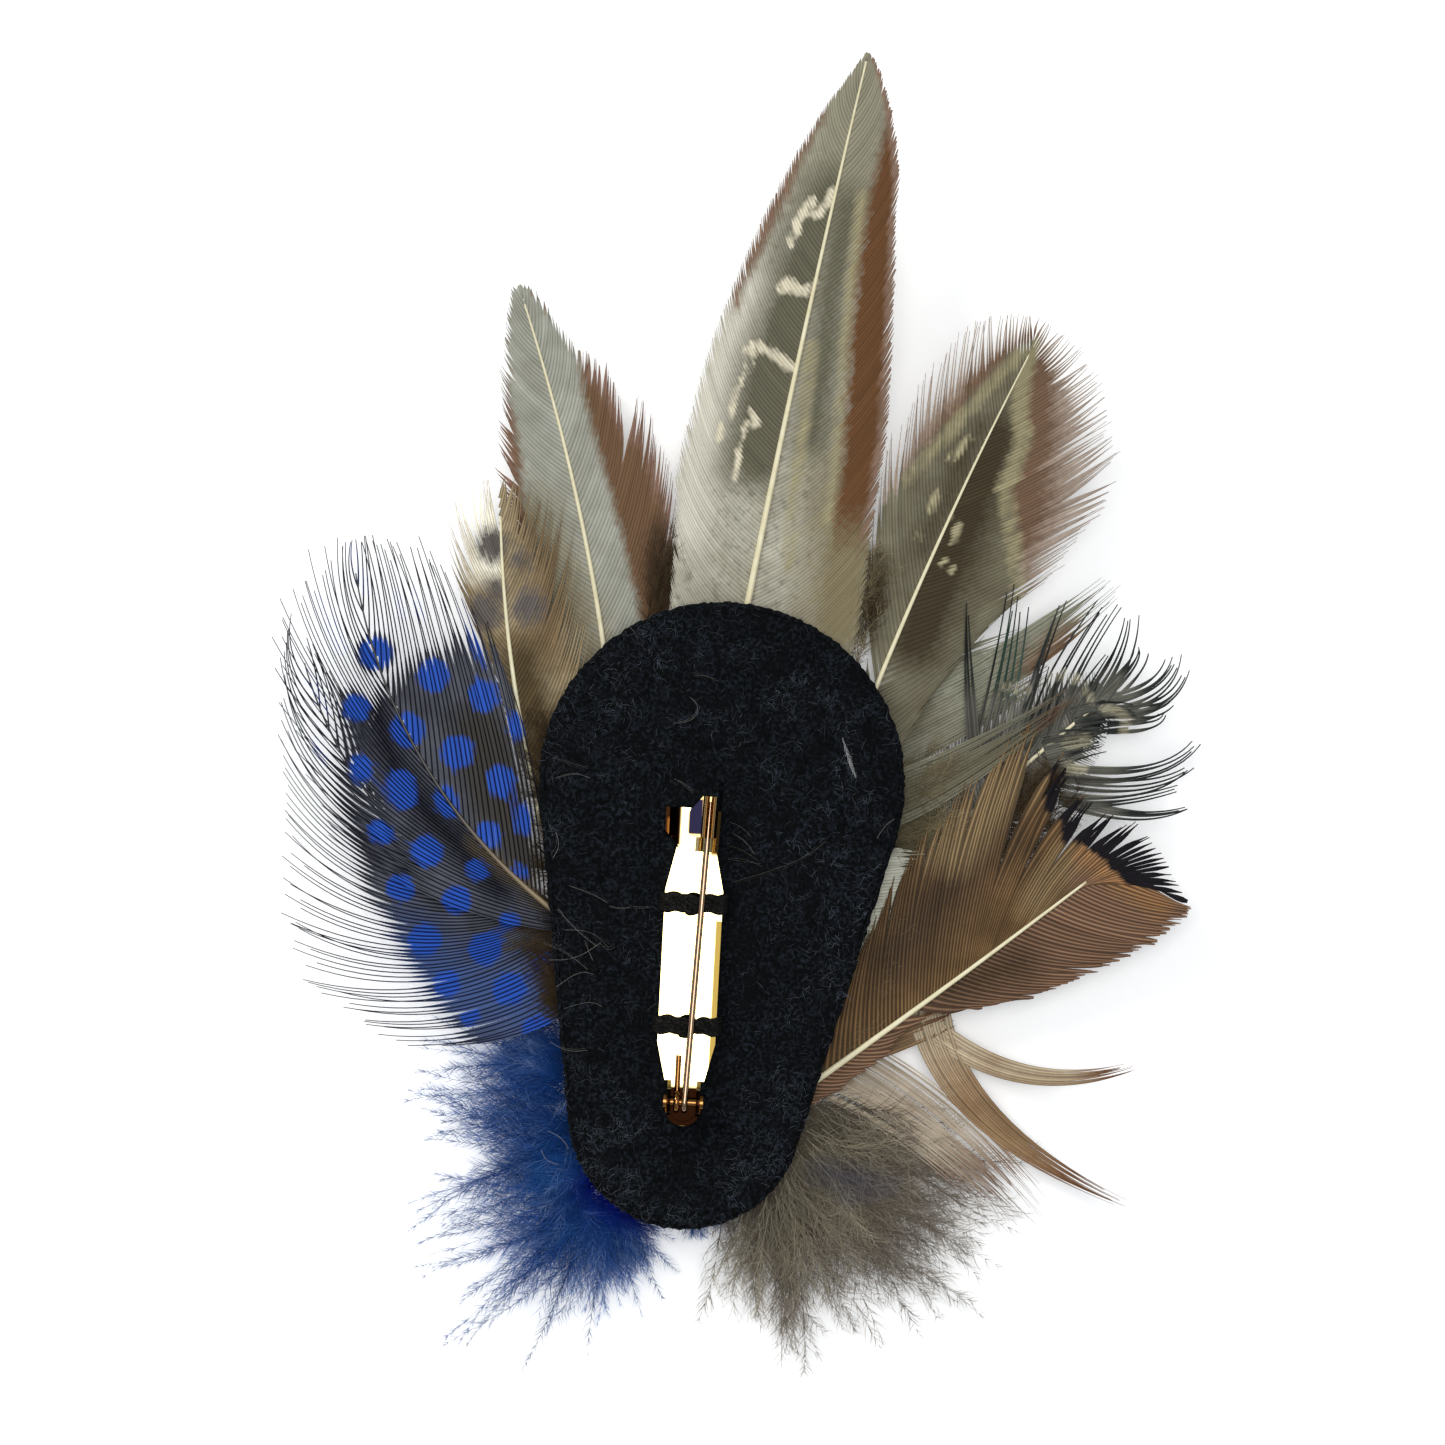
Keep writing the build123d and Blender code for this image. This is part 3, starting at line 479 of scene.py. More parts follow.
def vane_material(name, light, dark, ridge, layers, ridge_share=0.4, tone_share=0.05, rough=0.62,
                  speck=0.0, core=None):
    """Vane colours from the ground up: two grounds mixed by noise, then the markings in turn, each
    (mark, colour, soft mm, ragged mm), then the barbs' own lines, a tint of what lies under them
    or a core of one colour."""
    made, tree, shader = fresh_material(name, rough, 0.1)
    noise, fine = fine_noise(tree, 260), fine_noise(tree, 1500, 2.0)
    tone = mark_value(tree, "tone")
    blend = link_math(tree, "MULTIPLY_ADD", noise, 2.4, -0.7, clamp=True)
    colour = link_mix(tree, blend, paint(*light), paint(*dark))
    if speck:
        grains = link_math(tree, "MULTIPLY_ADD", fine_noise(tree, 1100, 4.0), 5.0, -2.6, clamp=True)
        grains = link_math(tree, "MULTIPLY", grains, speck)
        colour = link_mix(tree, grains, colour, paint(*(c * 0.72 for c in dark)))
    for mark, marking, soft, ragged in layers:
        colour = use_group(
            tree, marking_group, Below=colour, Marking=paint(*marking), Inside_mm=mark_value(tree, mark),
            Soft_mm=soft, Ragged_mm=ragged, Tone=tone, Noise=fine,
        )
    lines = paint(*core) if core else link_mix(tree, 1.0, colour, ridge, "MULTIPLY")
    colour = use_group(
        tree, barb_group, Colour=colour, Ridge_colour=lines, Ridge=mark_value(tree, "ridge"),
        Ridge_share=ridge_share, Tone=tone, Tone_share=tone_share,
    )
    feed(tree, shader.inputs["Base Color"], colour)
    return made


quill_cream, tree, shader = fresh_material("cream quill horn", 0.35)
warm = link_mix(tree, fine_noise(tree, 900), paint(232, 226, 196), paint(196, 184, 140))
feed(tree, shader.inputs["Base Color"], warm)

NOWHERE, EVERYWHERE = -9.0, 9.0
LOOK = dict(
    spacing=0.34, steps=12, locks=(3, 8), clump=0.08, clump_power=3.0, stray=0.2, fray=0.05, uneven=0.008,
    bow=17, ease=10, web=0.24, web_end=1.0, web_fade=0.14, stem=0.05, thin=0.7, heave=0.03, arch=0.15,
)
TALL_QUILL = (felt_point(-0.05, 0.0), 79.5, 79.1, -3)
TALL_LEFT = [
    (0.025, -8, 4.1), (0.089, -7.3, 9.4), (0.142, -7.2, 14.6), (0.206, -6.7, 20.7), (0.272, -6.5, 27.6),
    (0.325, -5.4, 31.8), (0.375, -4.3, 35.8), (0.447, -2.6, 41.5), (0.507, -1, 45.6), (0.579, 1.1, 50.5),
    (0.646, 3.1, 54.9), (0.742, 6, 60.3), (0.849, 9.3, 65.7), (0.921, 11.7, 68.8), (0.94, 12.9, 70.3),
    (0.955, 13.6, 71), (0.985, 13.8, 71.2),
]
TALL_RIGHT = [
    (0, 12, 5.2), (0.092, 13.3, 12.6), (0.17, 14.1, 18.7), (0.236, 14.9, 24.4), (0.328, 16.1, 32.5),
    (0.442, 16.5, 40.7), (0.562, 16.7, 48.8), (0.665, 16.9, 55.7), (0.705, 17.2, 59), (0.745, 16.9, 61.9),
    (0.819, 16.1, 65.9), (0.882, 15.2, 68.8), (0.945, 14.4, 70.7), (0.985, 13.9, 71.1),
]
TALL_BLOTCHES = [
    ([(10.1, 56.8), (9.5, 55.6), (8.5, 54.3), (7.9, 54.4)], 0.42),
    ([(7.9, 55.9), (7, 54.7), (6.4, 53.5), (5.6, 51.3)], 0.4),
    ([(4.6, 46.6), (5.3, 47.4), (6.3, 46.4), (7.3, 46.4), (8, 46.9)], 0.55),
    ([(1, 40.2), (2.2, 40.8), (3.3, 40.1), (4.8, 39), (5.9, 38.1)], 0.55),
    ([(1.6, 39), (0.5, 37), (-0.2, 36), (-0.6, 33.9), (-1.6, 32), (-2, 30.7)], 0.35),
    ([(1.6, 33.7), (2.1, 32.1)], 0.4), ([(0.9, 32.6), (0.4, 30.7), (0, 28.4), (-0.2, 26.4)], 0.25),
]
TALL_LINES = [
    (
        [(13.3, 56.2), (12.8, 52), (12.1, 46.6), (11.6, 40.3), (11.1, 33.9), (10.5, 27.5), (9.9, 22.2)],
        0.55,
    ), ([(8, 40.7), (7.3, 34.5), (6.8, 28.5), (6, 24.4), (5.5, 17.1)], 0.55),
]
TALL_RUFOUS_RIGHT = [
    (10.4, 22.2), (11.1, 27.5), (11.7, 34.9), (12.2, 42.4), (13, 49.8), (13.9, 55.2), (15.2, 61.5),
    (16.1, 65.8),
]
TALL_RUFOUS_LEFT = [
    (9.3, 65.2), (8, 62.6), (6.4, 59.2), (4.4, 54.6), (2, 49.6), (0.5, 46.4), (-0.5, 42.4),
]
TALL_FRINGE_FOOT, TALL_RUFOUS_FOOT = 45.1, 21.1


def tall_marking(x, y, u, side):
    """Pale blotches and lines, a grey belt beside the quill, and rufous beyond a line on each
    side, which turns mauve at the very edge and fades out towards the foot."""
    marks = {
        "pale": in_bands(x, y, TALL_BLOTCHES), "lines": in_bands(x, y, TALL_LINES),
        "tip": near_line(x, y, [(13.3, 69), (11.8, 61.5), (11, 57.3)], 4.5),
    }
    if side > 0:
        rufous = np.minimum(beyond_line(x, y, TALL_RUFOUS_LEFT), (y - TALL_FRINGE_FOOT) * 0.4)
        return {
            **marks, "rufous": rufous, "mauve": rufous - 0.4, "olive": NOWHERE,
            "belt": near_line(
                x, y, [(10.5, 55.7), (8.4, 50.9), (6.3, 44.5), (3.9, 38.1), (2.7, 31.8), (2.2, 29.1)],
                3.6,
            ),
            "margin": near_line(
                x, y, [(1.4, 46.6), (-1.6, 40.3), (-3.5, 33.9), (-4.8, 27.5), (-5.4, 21.1)], 2.4,
            ),
        }
    fade = y - TALL_RUFOUS_FOOT
    return {
        **marks, "rufous": np.minimum(beyond_line(x, y, TALL_RUFOUS_RIGHT), fade * 0.25),
        "mauve": np.minimum((u - 0.88) * 14, fade * 0.3), "margin": NOWHERE,
        "belt": near_line(x, y, [(11.8, 55.2), (10.1, 46.6), (9, 38.1), (8, 30.7)], 1.9),
        "olive": np.minimum(3 - fade * 0.4, near_line(x, y, [(12, 27.5), (11.8, 20.1), (11, 11.5)], 4.0)),
    }


tall_paint = vane_material(
    "tall feather vane", (183, 180, 165), (152, 148, 132), (0.70, 0.69, 0.66),
    [
        ("margin", (206, 202, 188), 4.0, 0.6), ("olive", (132, 122, 94), 5.0, 0.8),
        ("tip", (142, 138, 119), 5.0, 0.6), ("belt", (100, 97, 80), 3.4, 0.5),
        ("lines", (158, 150, 118), 1.0, 0.2), ("pale", (216, 208, 184), 0.45, 0.18),
        ("rufous", (104, 71, 44), 1.3, 0.3), ("mauve", (138, 114, 98), 1.2, 0.4),
    ], speck=0.6, ridge_share=0.5,
)
vane(
    "tall_feather", 11, TALL_QUILL, 2, TALL_LEFT, TALL_RIGHT,
    {
        **LOOK, "spacing": 0.3, "fray": 0.04, "clump": 0.05, "right_web_end": 1.04, "left_bow": 20,
        "right_bow": 18,
    }, tall_marking, tall_paint, "grey_vane", "tall_feather",
)
quill_shaft("tall_feather", TALL_QUILL, 2, 0.98, 0.2, 0.985, quill_cream, "grey_vane")


# The pointed feather beside it: clear grey along its quill, with rufous margins that part into
# hair at the right. It lies lowest of all, with its root glued under the felt.
LEFT_QUILL = (felt_point(-0.56, 0.05), 94.0, 55.7, 14)
LEFT_GREY_RIGHT = [
    (-22.2, 47.2), (-20.2, 44.7), (-18.5, 42.4), (-16.8, 40.1), (-16.3, 35.3), (-14.7, 29.5),
    (-13.1, 24.1), (-11.6, 17.9), (-10.3, 11.5),
]
LEFT_GREY_LEFT = [
    (-24.4, 46.4), (-24.7, 41.3), (-24.5, 37.1), (-23.7, 32.8), (-23.1, 29.1), (-22.9, 24.3),
]


def left_marking(x, y, u, side):
    """Rufous outside the two lines that bound the grey, a dark tuft, and a brownish foot."""
    rufous = -beyond_line(x, y, LEFT_GREY_RIGHT) if side < 0 else beyond_line(x, y, LEFT_GREY_LEFT)
    return {
        "rufous": rufous, "foot": near_line(x, y, [(-22, 22.2), (-18.8, 13.7), (-14.6, 5.2)], 2.6),
        "dusk": near_line(x, y, [(-7.3, 21.1), (-8.2, 17.4), (-7.3, 14.7)], 1.4),
        "mauve": np.minimum((u - 0.8) * 14, rufous - 0.6),
    }


left_paint = vane_material(
    "pointed feather vane", (170, 171, 160), (145, 145, 132), (0.66, 0.65, 0.62),
    [
        ("foot", (138, 130, 108), 5.0, 0.8), ("rufous", (110, 84, 62), 1.0, 0.3),
        ("dusk", (62, 46, 32), 2.4, 0.5), ("mauve", (138, 110, 97), 2.0, 0.6),
    ], ridge_share=0.55,
)
vane(
    "left_feather", 12, LEFT_QUILL, 0,
    [
        (0.069, -18.8, 3), (0.146, -21.4, 9.4), (0.29, -23.5, 17.9), (0.409, -24.9, 24.3),
        (0.541, -25.4, 30.7), (0.66, -25.3, 35.8), (0.8, -24.8, 41.3), (0.894, -24.5, 45.1),
        (0.94, -24, 46.8), (0.96, -23.6, 47.2), (0.98, -23.2, 47.3),
    ],
    [
        (0.089, -7.3, 9.4), (0.138, -6.9, 14.7), (0.186, -6.6, 20.1), (0.223, -6.6, 24.3),
        (0.265, -7.1, 27.9), (0.331, -8.5, 31.2), (0.4, -9.9, 34.9), (0.496, -12.2, 35.2),
        (0.548, -13.2, 37.2), (0.614, -14.6, 39), (0.708, -16.8, 40.6), (0.777, -18.5, 42.6),
        (0.847, -20.2, 44.7), (0.887, -21.5, 46.4), (0.95, -22.3, 47.2), (0.98, -23, 47.3),
    ],
    {
        **LOOK, "fray": 0.09, "clump": 0.15, "web_end": 0.97, "web_fade": 0.2, "uneven": 0.015, "bow": 13,
        "right_splits": [(0.47, 0.5, 0.8, 0.05)],
        "left_splits": [(0.5, 0.75, 0.6, 0.05), (0.6, 0.75, 0.6, 0.05)],
    }, left_marking, left_paint, "grey_vane", "left_feather",
)
quill_shaft("left_feather", LEFT_QUILL, 0, 0.8, 0.2, 0.97, quill_cream, "grey_vane")


# The buff feather lies over it: a soft, half see-through vane with brown spots either side of a
# thin quill, yellowish towards the felt.
BUFF_QUILL = (felt_point(-0.95, 0.2), 105.4, 40.0, -16)


def in_spots(x, y, spots):
    """Millimetres inside the nearest of many round spots, each x, y and radius."""
    return np.max([radius - np.hypot(x - sx, y - sy) for sx, sy, radius in spots], 0)


def buff_marking(x, y, u, side):
    """Soft spots, the bleached tip at the left, and the brown right half."""
    return {
        "spots": in_spots(
            x, y,
            [
                (-26.1, 19.6, 1.81), (-27.1, 12.4, 2.13), (-22.2, 13, 1.91), (-25.9, 14.7, 1.28),
                (-23.1, 17.9, 1.06),
            ],
        ),
        "bleached": near_line(
            x, y, [(-28.8, 24.3), (-27.3, 22.2), (-26.7, 17.9)], 2.2,
        ) if side > 0 else NOWHERE,
        "brown": near_line(x, y, [(-21, 22.2), (-19.7, 16.9), (-20.4, 9.4)], 2.4),
        "foot": near_line(x, y, [(-23.1, 7.3), (-21.5, 0.9), (-20.4, -3.4)], 2.4),
    }


buff_paint = vane_material(
    "buff feather vane", (142, 130, 106), (112, 98, 74), (2.1, 2.05, 1.95),
    [
        ("brown", (100, 84, 62), 3.6, 0.6), ("bleached", (200, 197, 184), 3.0, 0.6),
        ("foot", (66, 55, 36), 3.2, 0.5), ("spots", (80, 75, 72), 1.6, 0.6),
    ], ridge_share=0.9, tone_share=0.1,
)
vane(
    "buff_feather", 13, BUFF_QUILL, 1,
    [
        (0.193, -23.5, -3.4), (0.327, -25.2, 3), (0.4, -27.3, 8.5), (0.455, -29.4, 13.7),
        (0.524, -30.7, 19.3), (0.621, -30.5, 23.8), (0.679, -29.5, 25.6), (0.719, -28.3, 26.4),
        (0.767, -27.1, 26.8), (0.825, -26.1, 27),
    ],
    [
        (0, -17.2, -1.2), (0.05, -16.1, 4.1), (0.1, -15.7, 8.4), (0.17, -15.9, 11.8), (0.26, -16.5, 15.3),
        (0.38, -17.3, 19.2), (0.5, -18.6, 22.7), (0.6, -20.2, 24.3), (0.72, -22, 25.5),
        (0.85, -23.9, 26.4), (0.95, -24.9, 26.8),
    ],
    {
        **LOOK, "spacing": 0.32, "fray": 0.22, "clump": 0.4, "web": 0.2, "web_end": 0.8, "web_fade": 0.4,
        "stem": 0.055, "uneven": 0.05, "bow": 12, "thin": 0.8,
    }, buff_marking, buff_paint, "buff_vane", "buff_feather",
)
quill_shaft("buff_feather", BUFF_QUILL, 1, 0.8, 0.2, 0.9, quill_cream, "buff_vane")


# The round feather: olive grey inside a cream line, with a wide rufous margin that frays into
# hair, and three strips torn from its lower side that run on to the right.
ROUND_QUILL = (felt_point(0.49, 0.23), 70.6, 60.6, -8)
ROUND_CREAM = [
    (31.2, 40.8), (30.3, 36.5), (30.1, 32.9), (30.7, 31.4), (29.9, 28.7), (28.6, 25.8), (29.3, 20.9),
    (30.3, 14.7), (30.3, 11.5),
]
ROUND_STRIPE = [(30.3, 40.1), (26.9, 36.5), (23.2, 32.3), (20.1, 29), (17.9, 26.4)]
ROUND_FIRM = [
    (9.9, -7.6), (12.6, 9.4), (13.9, 22.2), (16.9, 29.1), (21.1, 34.4), (25, 38.4), (28.2, 40.1),
    (31.2, 40.3), (34.6, 37.3), (37.6, 32.3), (39, 27.5), (38.2, 22.7), (34.1, 16.9), (29.3, 11.5),
    (21.6, 0.9), (17.3, -6.5),
]
ROUND_BLOTCHES = [
    ([(24, 30.1), (23.3, 29.3), (22.6, 28.7)], 0.42), ([(21.4, 25.2), (21, 24.3), (20.6, 23.4)], 0.48),
    ([(19.6, 21.1), (19.3, 20.3)], 0.42), ([(22.9, 22.4), (23.7, 21.3), (23.3, 19.8)], 0.55),
    ([(22.2, 17.7), (22.9, 16.9)], 0.6), ([(24.8, 31.1), (23.9, 30.1)], 0.4),
]
ROUND_FRINGE_FOOT, ROUND_FAINT_FOOT = 20.0, 35.0


def inside(x, y, outline):
    """Millimetres inside a closed outline: the way to its nearest side, negative outside it."""
    ring = outline + outline[:1]
    crossed = np.zeros(x.shape, bool)
    for (ax, ay), (bx, by) in zip(ring, ring[1:]):
        over = ((ay > y) != (by > y)) & (x < (bx - ax) * (y - ay) / (by - ay + 1e-12) + ax)
        crossed ^= over
    return np.where(crossed, 1, -1) * -near_line(x, y, ring, 0.0)


def round_marking(x, y, u, side):
    """A cream band along the olive middle, rufous outside it, a pale stripe and small blotches."""
    if side < 0:
        band, rufous = near_line(x, y, ROUND_CREAM, 0.85), -beyond_line(x, y, ROUND_CREAM) - 0.4
    else:
        band, rufous = near_line(x, y, ROUND_STRIPE, 0.55), beyond_line(x, y, ROUND_STRIPE) - 0.7
        rufous = np.minimum(rufous, (y - ROUND_FRINGE_FOOT) * 0.3)
    return {
        "band": band, "rufous": rufous, "blotches": in_bands(x, y, ROUND_BLOTCHES),
        "deep": near_line(
            x, y, [(27.1, 30.7), (25, 24.3), (22.7, 17.9), (19.3, 9.4)], 3.4,
        ) if side < 0 else near_line(x, y, [(25.9, 31.8), (22.7, 25.4), (20, 19.5)], 1.2),
        "faint": np.minimum((u - 0.68) * 12, np.maximum(rufous - 0.6, (y - ROUND_FAINT_FOOT) * 0.3)),
    }


round_paint = vane_material(
    "round feather vane", (124, 120, 101), (102, 96, 78), (0.74, 0.72, 0.66),
    [
        ("deep", (64, 56, 40), 4.0, 0.6), ("rufous", (112, 88, 70), 1.2, 0.4),
        ("band", (148, 140, 110), 0.9, 0.3), ("blotches", (164, 156, 126), 0.45, 0.15),
        ("faint", (172, 158, 146), 3.0, 0.6),
    ], ridge_share=0.6,
)
vane(
    "round_feather", 14, ROUND_QUILL, 1,
    [
        (-0.3, 13.7, -3.4), (0.279, 13.9, 3), (0.299, 14.3, 9.4), (0.316, 14.5, 15.8),
        (0.342, 14.8, 20.9), (0.391, 15.6, 27.5), (0.443, 16.9, 31.8), (0.506, 18.6, 34.7),
        (0.59, 20.9, 38.6), (0.643, 22.7, 40.8), (0.685, 24.5, 42.5), (0.82, 26.4, 43.4),
        (0.87, 28.3, 43.8), (0.91, 29.6, 43.9), (0.945, 30.5, 43.9), (0.975, 31.3, 43.8),
    ],
    [
        (0.1, 17.9, -1.8), (0.14, 21.1, 3.6), (0.18, 23.7, 7.1), (0.22, 25.9, 9.6), (0.26, 28, 11.9),
        (0.31, 30.2, 13.8), (0.37, 33, 16.3), (0.44, 35.7, 19.5), (0.51, 38.6, 23), (0.56, 39.9, 26),
        (0.61, 40.7, 29.3), (0.65, 39, 31.1), (0.7, 39.3, 33.5), (0.77, 38.5, 36.4), (0.84, 37.1, 38.9),
        (0.88, 36, 40.5), (0.91, 34.6, 41.8), (0.935, 33.3, 42.8), (0.955, 32.4, 43.4),
        (0.975, 31.7, 43.7),
    ],
    {
        **LOOK, "fray": 0.13, "clump": 0.3, "clump_power": 4.0, "web_end": 0.92, "web_fade": 0.3,
        "uneven": 0.02, "ease": 5, "locks": (2, 8), "bow": 8, "right_web_end": 0.98, "thin": 0.6,
        "membrane": lambda x, y: inside(x, y, ROUND_FIRM), "web_low": 0.42,
        "right_splits": [(0.575, 0.66, 1.0, 0.04), (0.72, 0.72, 0.4, 0.03), (0.82, 0.72, 0.4, 0.03)],
        "left_splits": [(0.45, 0.55, 0.6, 0.05), (0.58, 0.6, 0.4, 0.03), (0.72, 0.6, 0.5, 0.03)],
    }, round_marking, round_paint, "grey_vane", "round_feather",
)
quill_shaft("round_feather", ROUND_QUILL, 1, 0.75, 0.14, 0.97, quill_cream, "grey_vane")


def free_locks(name, seed, locks, z, look, marking, material, slot, node=None):
    """Free bundles of barbs, each along a curve from its foot to its tip: foot x, y, middle x, y,
    tip x, y, width at the foot, width at the tip, and the number of barbs. A barb keeps its place
    across the bundle, ends a little short or long, and lies within the thickness of a vane."""
    rng = np.random.default_rng(seed)
    parts = []
    for ax, ay, mx, my, bx, by, foot, tip, count in locks:
        each = (count, 1)
        u = np.linspace(0, 1, look["steps"] + 1)[None, :] * (1 + rng.normal(size=each) * look["uneven"])
        x, y, dx, dy = bent(ax, ay, 2 * mx - (ax + bx) / 2, 2 * my - (ay + by) / 2, bx, by, u)
        place = np.linspace(-0.5, 0.5, count)[:, None]
        place = place + rng.normal(size=each) * 0.3 / count * look["mess"]
        swell = 1 + look["swell"] * np.sin(math.pi * np.clip(u, 0, 1))
        bundle = (foot + (tip - foot) * u**1.2) * swell
        wide = place * bundle + waver(rng, count, 3) * look["fray"] * u**2
        wide = wide + rng.normal(size=each) * look["fray"] * u**3
        x, y = x - dy * wide, y + dx * wide
        high = z + VANE_THICK * 0.45 + dish(x, y) + rng.normal(size=each) * look["heave"] * (1 + 2 * u)
        ended = (look["web_end"] - u) / look["web_fade"] + rng.normal(size=each) * 0.25
        web = np.clip(abs(bundle) / count * 0.66, 0.01, look["web"]) * np.clip(ended, 0, 1)
        paths = np.stack([x, y, high + look.get("lift", 0) * u**2], -1)
        parts.append(barbs(paths, u, web, WEB_TILT, look, rng.normal(size=each), marking(x, y, u, 0)))
    put_piece(name, *joined(parts), material, slot, node)


STRIP_LOOK = {
    **LOOK, "fray": 0.14, "mess": 0.5, "web_end": 0.88, "web_fade": 0.25, "swell": 0.12, "uneven": 0.03,
}
strip_paint = vane_material(
    "torn strips of the round feather", (144, 144, 128), (122, 121, 105), (0.68, 0.67, 0.62),
    [
        ("olive", (92, 87, 70), 5.0, 0.5), ("tip", (116, 86, 64), 3.0, 0.6),
        ("chalk", (188, 188, 174), 3.0, 0.5),
    ], ridge_share=0.6, speck=0.3,
)


def strip_marking(x, y, u, side):
    """Olive in the middle strip, rufous at the tips, and chalky grey in the lowest one."""
    return {
        "olive": in_bands(x, y, [([(18.4, -7.6), (29, -1.8)], 2.4), ([(16.3, -0.7), (20.5, 0.9)], 1.6)]),
        "tip": in_bands(x, y, [([(32.2, 6.4), (35.6, 9.4)], 1.6), ([(33.7, 0.7), (35.6, 3)], 1.6)]),
        "chalk": near_line(x, y, [(14.1, -18.2), (20, -16.1)], 4.6),
    }


free_locks(
    "round_feather_strip", 15,
    [(13.7, -1.4, 23.7, 3.7, 32.2, 7.8, 8.4, 6.0, 26), (22.7, 3, 32.2, 9.1, 39.9, 14.9, 4.0, 2.6, 12)],
    LAYERS[0] + 0.5, STRIP_LOOK, strip_marking, strip_paint, "grey_vane",
)
free_locks(
    "round_feather_low_strips", 151,
    [(15, -8.2, 23.7, -4.2, 35, 3, 5.2, 1.6, 16), (13.1, -17.4, 16.3, -17, 20.5, -16.3, 8.4, 6.4, 28)],
    LAYERS[1] + 0.9, STRIP_LOOK, strip_marking, strip_paint, "grey_vane",
)


# The two spotted feathers: guinea fowl dyed, black barbs on a grey web, with round blue spots in
# rows. The web ends well before the margin, and the bare barbs run on like a comb.
SPOTS = [
    (-38.5, 8, 1.81), (-32.3, 5.7, 1.81), (-27, 3.5, 1.7), (-40.6, 2.2, 1.49), (-35.2, -0.2, 1.91),
    (-29.8, -2.5, 1.81), (-40.2, -3.9, 1.28), (-40.1, -4.9, 1.17), (-35.9, -5.9, 1.49),
    (-35.9, -7.3, 1.6), (-31.2, -7.4, 1.28), (-30.9, -8.5, 1.28), (-25.2, -5.6, 1.7),
    (-38.1, -11.1, 1.38), (-33.1, -13.1, 1.7), (-26.5, -11.4, 1.49), (-27.8, -15.2, 1.28),
    (-23.2, -15.4, 1.06), (-36, -17.1, 1.6), (-30, -18.5, 1.6), (-33.4, -22.7, 1.81),
    (-24.3, -20.7, 1.17), (-26.9, -23.7, 1.81), (-20.5, -25.2, 1.28), (-31, -27.4, 1.49),
    (-24.3, -28, 1.81), (-21.3, -32.4, 1.7), (-23.6, 0.9, 0.96), (-23.6, -0.5, 0.96), (-22.8, -9.2, 1.06),
    (-22.8, -10.6, 0.96), (-28.3, -30.8, 0.85), (-29, -31.2, 0.74),
]
STREAKS = [
    ([(-41, 19.2), (-40.3, 16.9), (-39.5, 14.7)], 0.6),
    ([(-44.6, 13.7), (-43.5, 11.5), (-42.4, 8.6)], 0.85), ([(-36.3, 14.7), (-35.6, 12.1)], 0.5),
    ([(-34.4, 14.7), (-33.5, 12.1)], 0.5), ([(-29.5, 13.7), (-28.4, 10.7)], 0.6),
    ([(-45.6, 6), (-44.6, 3), (-43.7, 1.8)], 0.5), ([(-45.2, -1), (-44.1, -3.6)], 0.5),
    ([(-28, 9.4), (-27.3, 7.5)], 0.45),
]
WEB_UPPER = [
    (-21, -21.4), (-33.7, -18.8), (-38.8, -7.6), (-39.9, -1.2), (-37.4, 4.1), (-33.7, 6.8), (-28.4, 9.4),
    (-24.7, 8.4),
]
WEB_LOWER = [
    (-18.8, -18.2), (-35.9, -6.5), (-41.2, 3), (-42.4, -6.5), (-39, -17.2), (-35, -23.6), (-32, -28.9),
    (-25.2, -36.3), (-18.8, -35.3),
]


def spotted_marking(x, y, u, side):
    """Blue inside the spots and streaks, a darker web beside the quills, brown at the felt."""
    return {
        "blue": np.maximum(in_spots(x, y, SPOTS), in_bands(x, y, STREAKS)),
        "foot": near_line(x, y, [(-20.2, -18.8), (-25.2, -15.1), (-28.4, -12.4)], 0.5),
        "dusk": near_line(x, y, [(-21, -14), (-25.2, -7.6), (-27.3, -1.2)], 3.4),
        "ink": near_line(
            x, y, [(-25.2, -17.2), (-32.7, -9.7), (-36.7, -4.4), (-38.8, 3), (-40.1, 9.4)], 1.3,
        ), "navy": near_line(x, y, [(-35.9, -24.6), (-29.5, -27.8), (-21, -29.9)], 4.0),
    }


spotted_paint = vane_material(
    "spotted feather vane", (84, 87, 97), (58, 60, 68), (0.10, 0.10, 0.14),
    [
        ("dusk", (54, 51, 47), 3.0, 0.5), ("navy", (62, 82, 128), 5.0, 0.6),
        ("ink", (24, 26, 36), 2.6, 0.4), ("foot", (88, 76, 56), 2.0, 0.4),
        ("blue", (34, 78, 172), 0.5, 0.14),
    ], ridge_share=0.92, rough=0.5,
)
UPPER_QUILL = (felt_point(-0.61, 0.505), 149.7, 52.7, -54)
LOWER_QUILL = (felt_point(-0.53, 0.505), 171.5, 51.1, -70)
SPOTTED_LOOK = {
    **LOOK, "spacing": 0.46, "stem": 0.062, "fray": 0.25, "uneven": 0.03, "clump": 0.4,
    "clump_power": 2.5, "locks": (2, 6), "web_end": 1.3, "web_fade": 0.2, "steps": 18, "thin": 0.45,
}
